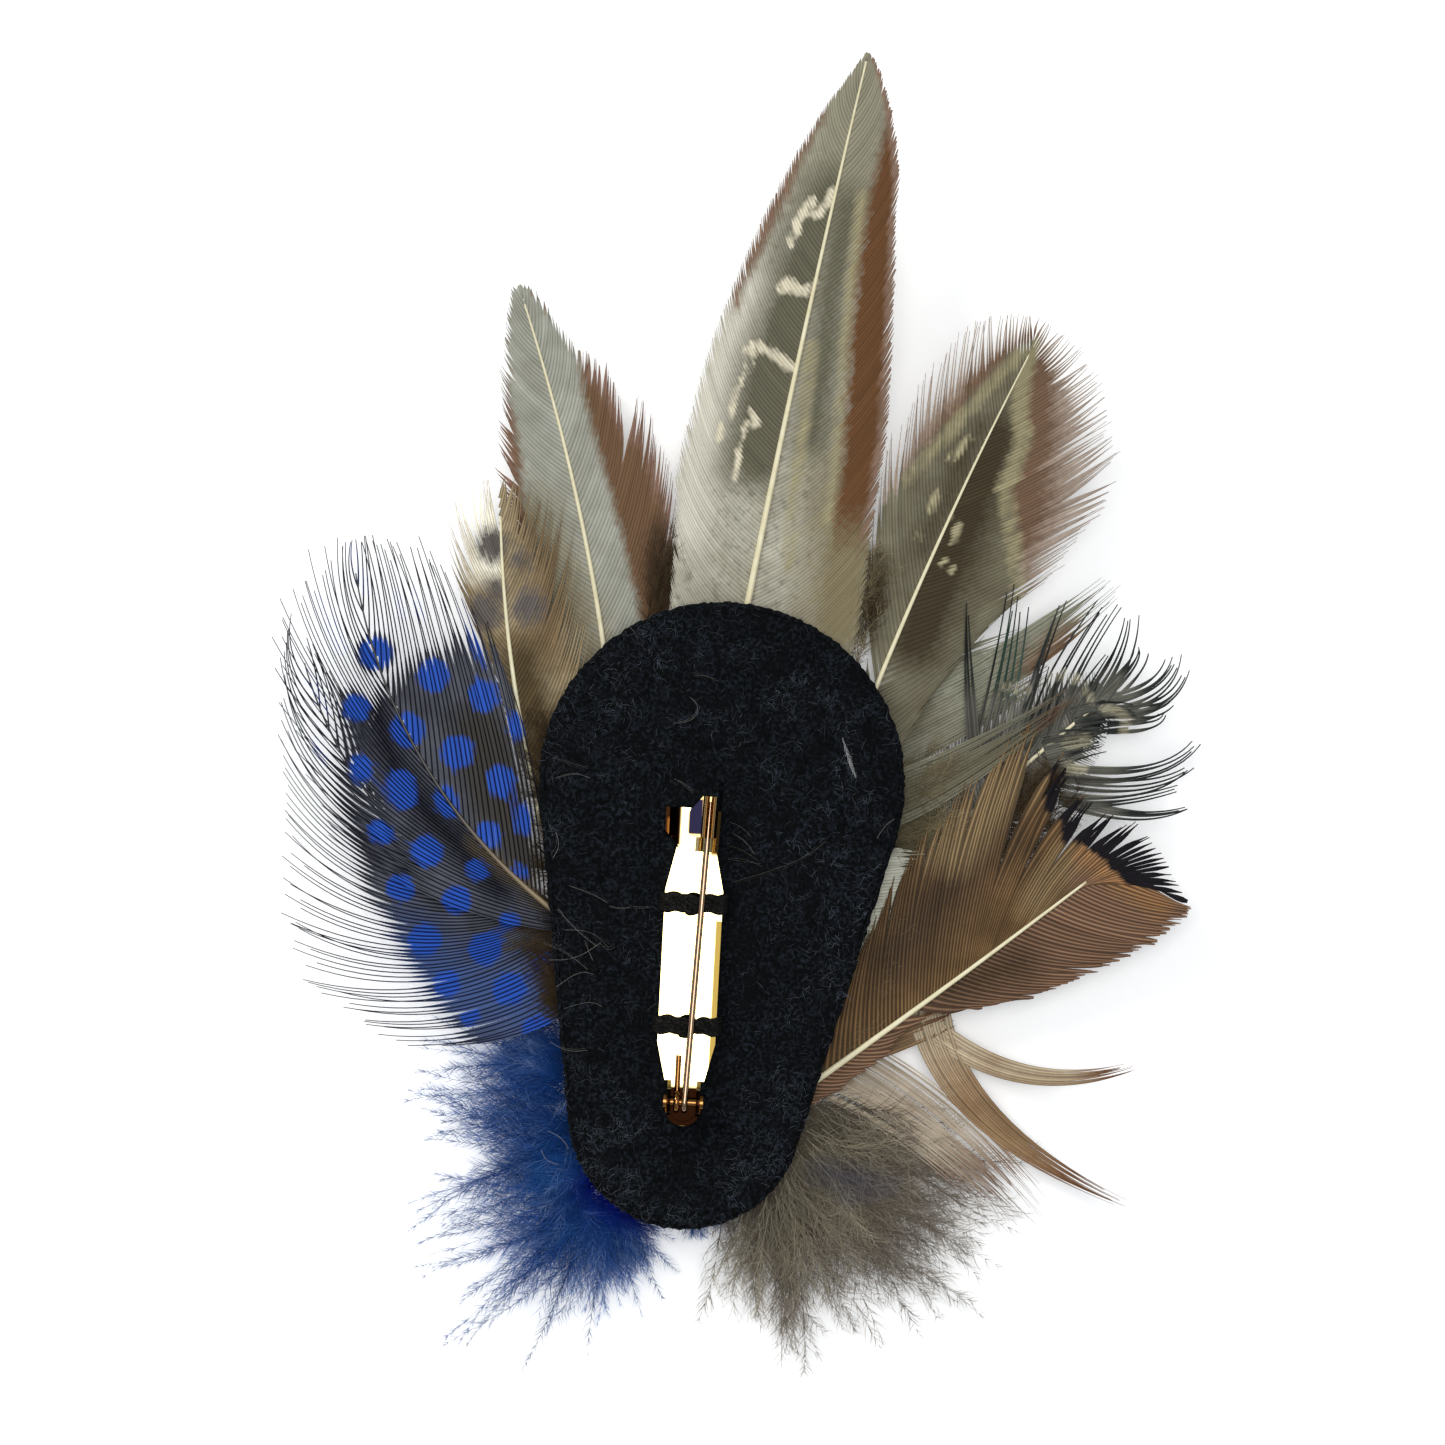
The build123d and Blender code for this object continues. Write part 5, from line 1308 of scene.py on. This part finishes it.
TUFT_LOOK = {
    **BLUE_LOOK, "stems": 10, "fan": 12.0, "fluff": 3.6, "sweep": 13, "wave": 0.5, "bend": 22,
    "foot": 0.9, "thick": 0.9, "bare": 0.0, "barbules": 30, "short": 0.4, "stem": 0.034, "gather": 0.6,
    "curl": 0.3, "blunt": 3.0, "stain_and_shade_lines": [([(-14.6, -51.9), (-14.6, -52)], 0.2)],
}
golden_paint = down_material(
    "golden brown tufts", (122, 112, 86), (136, 125, 100), (162, 150, 122), (108, 98, 74), (88, 78, 58),
    (88, 78, 58),
)
down(
    "golden_tufts", 61,
    [
        (12.2, 7.8, 75, 6, 10), (12.7, 11.5, 70, 7, 10), (13.3, 14.7, 72, 6, 10), (15.2, -6.8, 20, 5, 10),
        (16.3, -8.2, -5, 6, -20), (17.9, -7.2, 25, 4, 10), (20, -6.1, 20, 3, 20),
        (15.2, -12.9, 30, 6, 10), (16.5, -12.5, 10, 6, -20), (18.4, -11.9, 25, 6, 10),
        (12.9, -28.9, 50, 7, 10), (13.3, -26.2, 60, 7, 20), (14.1, -23.6, 50, 6, 10),
        (12, -32.1, 55, 7, 20), (10.5, -35.3, 50, 7, -20), (9.5, -37, 40, 6, 10), (12, -29.9, 80, 6, -20),
    ], 4.5, TUFT_LOOK, golden_paint, "fluff",
)
dark_paint = down_material(
    "dark brown tufts", (70, 57, 41), (84, 69, 50), (106, 90, 68), (64, 51, 36), (45, 35, 25),
    (45, 35, 25),
)
down(
    "dark_tufts", 62,
    [
        (-8.7, 11, 70, 7, 10), (-8, 13.7, 66, 7, 10), (-7.3, 15.8, 72, 6, 10),
        (-18.2, -12.9, 140, 5, -20), (-18.8, -16.1, 150, 4, 10), (-18.6, -20.4, 165, 4, -20),
        (-18.2, -23.6, 150, 5, 20), (-17.6, -27.3, 160, 4, -20), (-16.9, -30.2, 150, 3, 10),
        (28.4, -8.9, 40, 7, 20), (30.1, -10.4, 30, 8, -20), (31.8, -8.2, 46, 6, 20),
        (-18.8, -7.6, 140, 5, 10), (-19.3, -3.4, 120, 5, -20), (13.3, 9.4, 84, 7, 10),
        (23.7, -18.2, 35, 8, 10), (25.3, -16.1, 40, 9, 20), (28, -14, 30, 8, 30),
        (30.1, -12.9, 50, 6, -30), (21.6, -21.4, 40, 8, 10),
    ], 4.4, TUFT_LOOK, dark_paint, "fluff",
)


# The felt pad: black wool felt, 2 mm thick, cut to a teardrop and glued over the quills. It dips
# where the thread pulls the pin down, and short loose fibres cover it.
FELT_LOW, FELT_TOP, FELT_EDGE = 6.15, 8.15, 0.6
LATTICE = 256


def lattice_noise(x, y, size, seed):
    """Smooth noise from -1 to 1: random heights on a square lattice, blended cubically between."""
    heights = np.random.default_rng(seed).uniform(-1, 1, (LATTICE, LATTICE))
    gx, gy = x / size + 100, y / size + 100
    ix, iy = np.floor(gx).astype(int), np.floor(gy).astype(int)
    fx, fy = gx - ix, gy - iy
    fx, fy = fx * fx * (3 - 2 * fx), fy * fy * (3 - 2 * fy)
    ix, iy = ix % (LATTICE - 1), iy % (LATTICE - 1)
    low = heights[ix, iy] * (1 - fx) + heights[ix + 1, iy] * fx
    high = heights[ix, iy + 1] * (1 - fx) + heights[ix + 1, iy + 1] * fx
    return low * (1 - fy) + high * fy


MATTED_LUMPS = ((0.13, 3.1, 5), (0.11, 1.1, 6), (0.05, 0.5, 7))
PIN_DENTS = [(-8.8, -18.2), (-1.2, -18.1), (-9, -31.4), (-1.6, -31.3)]
FELT_CREASES = [
    ([(-19.3, -27.3), (-17.2, -26.5), (-14.6, -26.8), (-10.3, -26.2), (-8.7, -28.9)], 0.22),
    ([(-16.2, -40.4), (-12.4, -39.5), (-9.3, -37.9)], 0.14),
    ([(-0.7, -16.1), (3.5, -14.2), (6.7, -14.8)], 0.12), ([(-0.2, -33.1), (2.4, -34.2)], 0.14),
]


def felt_height(x, y):
    """The top of the felt: level, with matted lumps, creases, and dents beside the stitches."""
    high = -0.14
    for deep, size, seed in MATTED_LUMPS:
        high = high + deep * lattice_noise(x, y, size, seed)
    for line, deep in FELT_CREASES:
        high = high - deep * np.exp(-(near_line(x, y, line, 0.0) / 0.7) ** 2)
    for px, py in PIN_DENTS:
        high = high - 0.55 * np.exp(-((x - px) ** 2 + (y - py) ** 2) / 1.5**2)
    beside = near_line(x, y, [(-5, -41.6), (-5, -23.6), (-3.9, -7.6)], 3.3)
    return FELT_TOP + high + 0.22 * np.clip(-beside / 3, 0, 1) - 0.06 * (beside > -1)


# the rim: an arc about the head, a straight side, an arc about the tail, and the other side
axis = math.atan2(TAIL_Y - HEAD_Y, TAIL_X - HEAD_X)
touch = math.acos((HEAD_R - TAIL_R) / math.hypot(TAIL_X - HEAD_X, TAIL_Y - HEAD_Y))
rim = []
for first, last, share0, share1, count in (
    (axis + touch, axis - touch + 2 * math.pi, 0, 0, 260), (axis - touch, axis - touch, 0, 1, 110),
    (axis - touch, axis + touch, 1, 1, 120), (axis + touch, axis + touch, 1, 0, 110),
):
    part = np.linspace(0, 1, count, endpoint=False)
    rim.append((first + (last - first) * part, share0 + (share1 - share0) * part))
turns, spine_share = np.concatenate(rim, axis=1)
reach = HEAD_R + (TAIL_R - HEAD_R) * spine_share


def from_spine(out, pick=slice(None)):
    """Places so far out from the felt's middle line, at all turns of its rim or at picked ones."""
    share, turn = spine_share[pick], turns[pick]
    x, y = HEAD_X + (TAIL_X - HEAD_X) * share, HEAD_Y + (TAIL_Y - HEAD_Y) * share
    return x + out * np.cos(turn), y + out * np.sin(turn)


felt_rows = []
for ring in np.linspace(0.01, 0.97, 64):
    x, y = from_spine(reach * ring)
    felt_rows.append((x, y, felt_height(x, y)))
wool = 0.12 * lattice_noise(np.degrees(turns) * 0.9 + spine_share * 60, 0 * turns, 1.0, 8)
for turn in np.linspace(math.pi / 2, -math.pi / 2, 9):
    x, y = from_spine(reach - FELT_EDGE + FELT_EDGE * math.cos(turn) + wool)
    level = felt_height(x, y) - FELT_EDGE if turn > 0 else FELT_LOW + FELT_EDGE + 0 * x
    felt_rows.append((x, y, level + FELT_EDGE * math.sin(turn)))
for ring in np.linspace(0.9, 0.02, 8):
    felt_rows.append((*from_spine(reach * ring), 0 * turns + FELT_LOW))
felt_points = np.array(felt_rows).transpose(0, 2, 1)
index = np.arange(felt_points[..., 0].size).reshape(felt_points.shape[:2])
felt_walls = np.stack([index[:-1], index[1:], np.roll(index[1:], -1, 1), np.roll(index[:-1], -1, 1)], -1)


def add_bump(tree, shader, height, strength, depth):
    """Relief in the shading only, from a height that runs from 0 to 1."""
    bump = tree.nodes.new("ShaderNodeBump")
    bump.inputs["Strength"].default_value = strength
    bump.inputs["Distance"].default_value = depth
    feed(tree, bump.inputs["Height"], height)
    feed(tree, shader.inputs["Normal"], bump.outputs["Normal"])


felt_black, tree, shader = fresh_material("black wool felt", 0.95, 0.1)
strand = fine_noise(tree, 2600)
lit = link_math(tree, "MULTIPLY_ADD", strand, 4.5, -2.1, clamp=True)
worn = link_math(tree, "MULTIPLY_ADD", fine_noise(tree, 420, 4.0), 2.5, -0.85, clamp=True)
wool_tone = link_mix(tree, worn, link_mix(tree, lit, paint(3, 4, 5), paint(30, 36, 44)), paint(5, 6, 8))
feed(tree, shader.inputs["Base Color"], wool_tone)
add_bump(tree, shader, strand, 0.7, 0.00025)
felt_faces = [felt_walls.reshape(-1, 4), index[:1, ::-1], index[-1:]]
felt_points = felt_points.reshape(-1, 3)
felt = put_piece("felt_back", felt_points, felt_faces, None, felt_black, "felt", "felt_pad", smooth=True)

FIBRES, FIBRE_HALF = 9600, 0.018
rng = np.random.default_rng(41)
pick = rng.integers(0, len(turns), FIBRES)
ring = np.sqrt(rng.random(FIBRES)) * 0.985
root_x, root_y = from_spine(reach[pick] * ring, pick)
matted = lattice_noise(root_x, root_y, 1.4, 9) + 0.7 * lattice_noise(root_x, root_y, 4.0, 10)
heading = rng.uniform(0, 2 * math.pi, FIBRES)
bend = rng.normal(size=FIBRES) * 0.9
size = rng.uniform(0.35, 1.05, FIBRES)
share = np.array([0, 0.34, 0.67, 1.0])
way = heading[:, None] + bend[:, None] * share
x = root_x[:, None] + np.cumsum(np.cos(way), 1) * size[:, None] / 3
y = root_y[:, None] + np.cumsum(np.sin(way), 1) * size[:, None] / 3
arch = 0.16 * rng.random(FIBRES)[:, None] * np.sin(math.pi * (0.15 + 0.7 * share))
z = felt_height(x, y) + 0.015 + arch
half = FIBRE_HALF * (1 - 0.5 * share)[None, :, None] + np.zeros((FIBRES, 1, 1))
fibre_paint, tree, shader = fresh_material("loose felt fibres", 0.6, 0.15)
glint = link_math(tree, "MULTIPLY_ADD", mark_value(tree, "tone"), 0.34, 0.06, clamp=True)
feed(tree, shader.inputs["Base Color"], link_mix(tree, glint, paint(5, 6, 8), paint(112, 122, 134)))
tone = np.repeat(rng.normal(size=FIBRES) * 0.7 + matted * 1.5, 12)
put_piece("felt_fibres", *strands(np.stack([x, y, z], -1), half), {"tone": tone}, fibre_paint, "felt")

# hairs of down that have strayed onto the felt, and one scrap of white barbs near its right edge
STRAYS = [
    [(-19.4, -5.4), (-17.2, -4.7), (-15.4, -5.3)], [(-19.6, -3), (-18, -3.6), (-15.6, -4.2)],
    [(-7.3, 0.7), (-5.2, 0.3), (-3.9, 1.5), (-4.1, 2.8), (-5.2, 3.4)],
    [(-6.5, -5.4), (-5.5, -6.1), (-4.6, -7)], [(-13.7, -18.8), (-12.4, -19.1), (-11.2, -19)],
    [(-11.2, -18.9), (-9.9, -19), (-9.3, -18.9)], [(-18.2, -16.6), (-15.6, -17.5), (-13.5, -18.6)],
    [(-19.3, -18.8), (-17.2, -21.4), (-14.6, -23.4)], [(-20.4, -24.6), (-17.2, -24.6), (-14.1, -22.5)],
    [(-18.8, -21.4), (-15.6, -21.4), (-13.3, -23.6)], [(-16.3, -22.3), (-15.6, -24.1), (-15.2, -24.8)],
    [(-14.6, -22.5), (-14.3, -23.4), (-13.3, -23.6), (-12.9, -23.1)],
    [(-19.7, -27.8), (-16.7, -25.7), (-15, -26.2)], [(-21, -22.5), (-18.2, -23.6), (-15.6, -25.9)],
    [(-5, 6), (-3.1, 5.6), (-2.2, 4.9)], [(-1.3, -16.6), (6.7, -14.2), (9.9, -11.6)],
    [(14.8, -11.9), (15.6, -10.4), (16.9, -9.5)], [(-0.7, -11), (0.9, -11.9), (2, -13.6)],
    [(-1, -12.4), (0.7, -12.9), (2.4, -14.2)], [(-1.2, -13.8), (0.9, -13.8), (2.9, -14.8)],
    [(-1, -9.9), (0.5, -10.4), (1.6, -11.6)], [(-19.3, -10.8), (-18.8, -12.5), (-19.7, -14)],
    [(-10.3, 9.4), (-11.4, 10.9), (-12.7, 11.3)], [(-18.8, -29.9), (-15.6, -28.9), (-14.1, -29.7)],
    [(-20.1, -33.1), (-18.2, -34.4), (-15.6, -34.2)], [(-20.4, -42.7), (-18.6, -43.4), (-17.8, -44.8)],
    [(-18.8, -46.4), (-20.4, -45.9), (-20.9, -44.6)],
]
SCRAP = [(11.2, -1), (11.6, -2.3), (12, -3.6), (12.6, -5.1)]
STRAY_STEPS, SCRAP_BARBS = 18, 26


def along(line, count, span=0):
    """So many points along a line of points, its corners eased over so many of them."""
    places = np.linspace(0, len(line) - 1, count)
    sides = [np.interp(places, np.arange(len(line)), side) for side in np.array(line).T]
    return np.stack([eased(side, span) for side in sides] if span else sides, -1)


rng = np.random.default_rng(44)
paths, tones, halves = [], [], []
for line in STRAYS:
    for copy in range(2):
        paths.append(
            along(np.array(line) + rng.normal(size=(len(line), 2)) * 0.16 * copy, STRAY_STEPS, 4),
        )
        tones.append(rng.uniform(0.2, 1.3) - 0.3 * copy)
        halves.append(0.012 - 0.003 * copy)
for place, root in enumerate(along(SCRAP, SCRAP_BARBS)):
    for side in (-1, 1):
        way = math.radians(-66 + side * (18 + 8 * rng.normal()))
        out = np.linspace(0, 0.6 * math.sin(0.3 + place * 0.1), STRAY_STEPS)
        paths.append(root + np.stack([np.cos(way) * out, np.sin(way) * out], -1))
        tones.append(1.9)
        halves.append(0.014)
flat = np.array(paths)
arch = 0.08 + 0.1 * np.sin(np.linspace(0, math.pi, STRAY_STEPS))
high = felt_height(flat[..., 0], flat[..., 1]) + arch
half = np.array(halves)[:, None, None] + np.zeros((1, STRAY_STEPS, 1))
stray_paint, tree, shader = fresh_material("stray pale hairs", 0.45)
glint = link_math(tree, "MULTIPLY", mark_value(tree, "tone"), 0.38, clamp=True)
feed(tree, shader.inputs["Base Color"], link_mix(tree, glint, paint(70, 62, 48), paint(236, 238, 240)))
points, faces = strands(np.concatenate([flat, high[..., None]], -1), half)
tone = np.repeat(tones, 3 * STRAY_STEPS)
put_piece("stray_hairs", points, faces, {"tone": tone}, stray_paint, "fluff")


# The bar pin: stamped brass, gold plated and polished, held on the felt by black thread that is
# wound over the plate and through its two holes, and knotted there.
PIN_X, PIN_Y, PLATE_TOP = -5.72, -39.6, 8.8
PIN_LEAN = math.radians(3.0)


def on_pin(across, ahead, above):
    """A place given in the pin's own axes: across the plate, towards the catch, above the plate."""
    return np.stack(
        [
            PIN_X + across * math.cos(PIN_LEAN) + ahead * math.sin(PIN_LEAN),
            PIN_Y - across * math.sin(PIN_LEAN) + ahead * math.cos(PIN_LEAN),
            PLATE_TOP + above + 0 * across,
        ], -1,
    )


def gold_material(name, tint, rough, grain_height, reflection_and_grain_zones=()):
    """Polished plate: a warm mirror with faint scratches and a little waviness. Each zone is a box in the
    pin's own axes (across, ahead, in millimetres) where another tint is painted in, its edge so many
    millimetres soft: painted reflections and highlights, and on the plate also one grained rim."""
    made, tree, shader = fresh_material(name, rough)
    shader.inputs["Metallic"].default_value = 1.0
    colour = link_mix(tree, fine_noise(tree, 700, 4.0), paint(*tint), paint(*(c * 0.93 for c in tint)))
    place = tree.nodes.new("ShaderNodeTexCoord")
    to_pin = tree.nodes.new("ShaderNodeMapping")
    to_pin.vector_type = "TEXTURE"
    to_pin.inputs["Location"].default_value = (PIN_X * MM, PIN_Y * MM, 0)
    to_pin.inputs["Rotation"].default_value = (0, 0, -PIN_LEAN)
    feed(tree, to_pin.inputs["Vector"], place.outputs["Object"])
    apart = tree.nodes.new("ShaderNodeSeparateXYZ")
    feed(tree, apart.inputs["Vector"], to_pin.outputs["Vector"])
    for low_u, high_u, low_v, high_v, reflection_and_grain_tint, soft in reflection_and_grain_zones:
        inside_zone = 1.0
        for side, sign, end in (("X", 1, -low_u), ("X", -1, high_u), ("Y", 1, -low_v), ("Y", -1, high_v)):
            over = link_math(
                tree, "MULTIPLY_ADD", apart.outputs[side], sign / MM / soft, end / soft, clamp=True,
            )
            inside_zone = link_math(tree, "MULTIPLY", over, inside_zone)
        colour = link_mix(tree, inside_zone, colour, paint(*reflection_and_grain_tint))
    feed(tree, shader.inputs["Base Color"], colour)
    scratched = link_math(tree, "MULTIPLY_ADD", fine_noise(tree, 3000), 0.12, rough - 0.05)
    feed(tree, shader.inputs["Roughness"], scratched)
    add_bump(tree, shader, fine_noise(tree, 1400, 2.0), grain_height, 0.0001)
    return made


plate_gold = gold_material(
    "polished plate gold", (250, 226, 160), 0.12, 0.15,
    (
        # painted reflections and highlights: the hinge end painted dark red brown where it mirrors the
        # dark felt, with painted gold glints at its left and right edges and its foot; the catch end's
        # left ear painted dark with a painted amber highlight, and its right side painted darker; the
        # narrow band along the right rim is the grained rim's own duller tint
        (-3.4, 3.4, -3.0, 1.9, (15, 5, 2), 0.5), (-2.3, -1.6, -1.5, 1.3, (74, 42, 12), 0.3),
        (1.5, 2.0, -1.3, 1.3, (44, 22, 9), 0.25), (-1.3, 1.3, -3.0, -2.5, (96, 68, 38), 0.25),
        (-4.0, -1.5, 26.9, 34, (24, 11, 4), 0.4), (-3.3, -2.7, 27.0, 30.2, (96, 58, 18), 0.35),
        (1.3, 3.4, 26.0, 34, (84, 64, 34), 0.4), (2.4, 3.5, 3.4, 19.4, (96, 80, 38), 0.15),
    ),
)
wire_gold = gold_material("pin wire gold", (160, 132, 108), 0.14, 0.05)
# the spring and rivet get a darker amber gold than the plate: a painted reflection of the dark felt in
# them
spring_reflection_gold = gold_material("spring and rivet gold", (150, 104, 58), 0.12, 0.05)
# the barrel's tab is painted dark blue violet, a painted reflection of the dark felt
barrel_gold = gold_material(
    "barrel gold", (170, 140, 96), 0.1, 0.05, ((-0.98, 0.52, 28.4, 32.2, (17, 16, 30), 0.12),),
)
for node, finish in (
    ("pin_plate", plate_gold), ("hinge_rivet", spring_reflection_gold), ("spring_leg", spring_reflection_gold),
    ("pin_needle", wire_gold), ("catch_barrel", barrel_gold),
):
    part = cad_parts[node]
    part.data.materials.clear()
    part.data.materials.append(finish)

thread_black, tree, shader = fresh_material("black sewing thread", 0.8, 0.15)
ply = fine_noise(tree, 5000)
fluffed = link_math(tree, "MULTIPLY_ADD", ply, 5.0, -2.3, clamp=True)
feed(tree, shader.inputs["Base Color"], link_mix(tree, fluffed, paint(2, 2, 2), paint(34, 32, 30)))
add_bump(tree, shader, ply, 0.6, 0.0001)
THREAD_HALF, THREAD_STEPS, PLY, LOOPS = 0.27, 60, 7, 3


def stitch(name, ahead, seed):
    """Seven plied strands laid side by side over the plate from felt to felt, and a knot of three
    loops over the hole: each strand's centre is a flattened arch with a helix of its own."""
    rng = np.random.default_rng(seed)
    u = np.linspace(-1, 1, THREAD_STEPS)[None, :]
    lane = np.linspace(-0.74, 0.74, PLY)[:, None]
    wide = 3.55 + rng.normal(size=(PLY, 1)) * 0.06
    arch = 0.34 - 3.2 * np.clip(abs(u * wide) - 3.12, 0, 1)
    pinch = 1 - 0.45 * np.exp(-((u - 0.1) / 0.3) ** 2)
    twist = u * 12 + np.arange(PLY)[:, None] * 1.2
    crossing = ahead + lane * pinch + 0.1 * np.cos(twist)
    crossing = on_pin(u * wide, crossing, arch + 0.12 * np.sin(twist))
    loops = np.arange(LOOPS)[:, None]
    coil = np.linspace(0, 2.8 * math.pi, THREAD_STEPS) + loops * 2.1
    knot_x = -0.15 + 0.75 * np.cos(coil) * (1 - 0.2 * loops) + 0.1 * loops
    knot_y = ahead - 0.45 + 0.62 * np.sin(coil + loops)
    knot = on_pin(knot_x, knot_y, 0.55 + 0.28 * np.sin(coil * 2 + loops))
    turn = np.linspace(0, 2 * math.pi, 8, endpoint=False)
    half = THREAD_HALF * (1 + 0.1 * rng.normal(size=(PLY + LOOPS, 1, 1))) + np.zeros((1, THREAD_STEPS, 1))
    points, faces = hair(np.concatenate([crossing, knot]), half * np.cos(turn), half * np.sin(turn))
    put_piece(name, points, faces, None, thread_black, "felt", smooth=True)


stitch("catch_end_stitch", 21.1, 51)
stitch("hinge_end_stitch", 8.1, 52)

low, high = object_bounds()
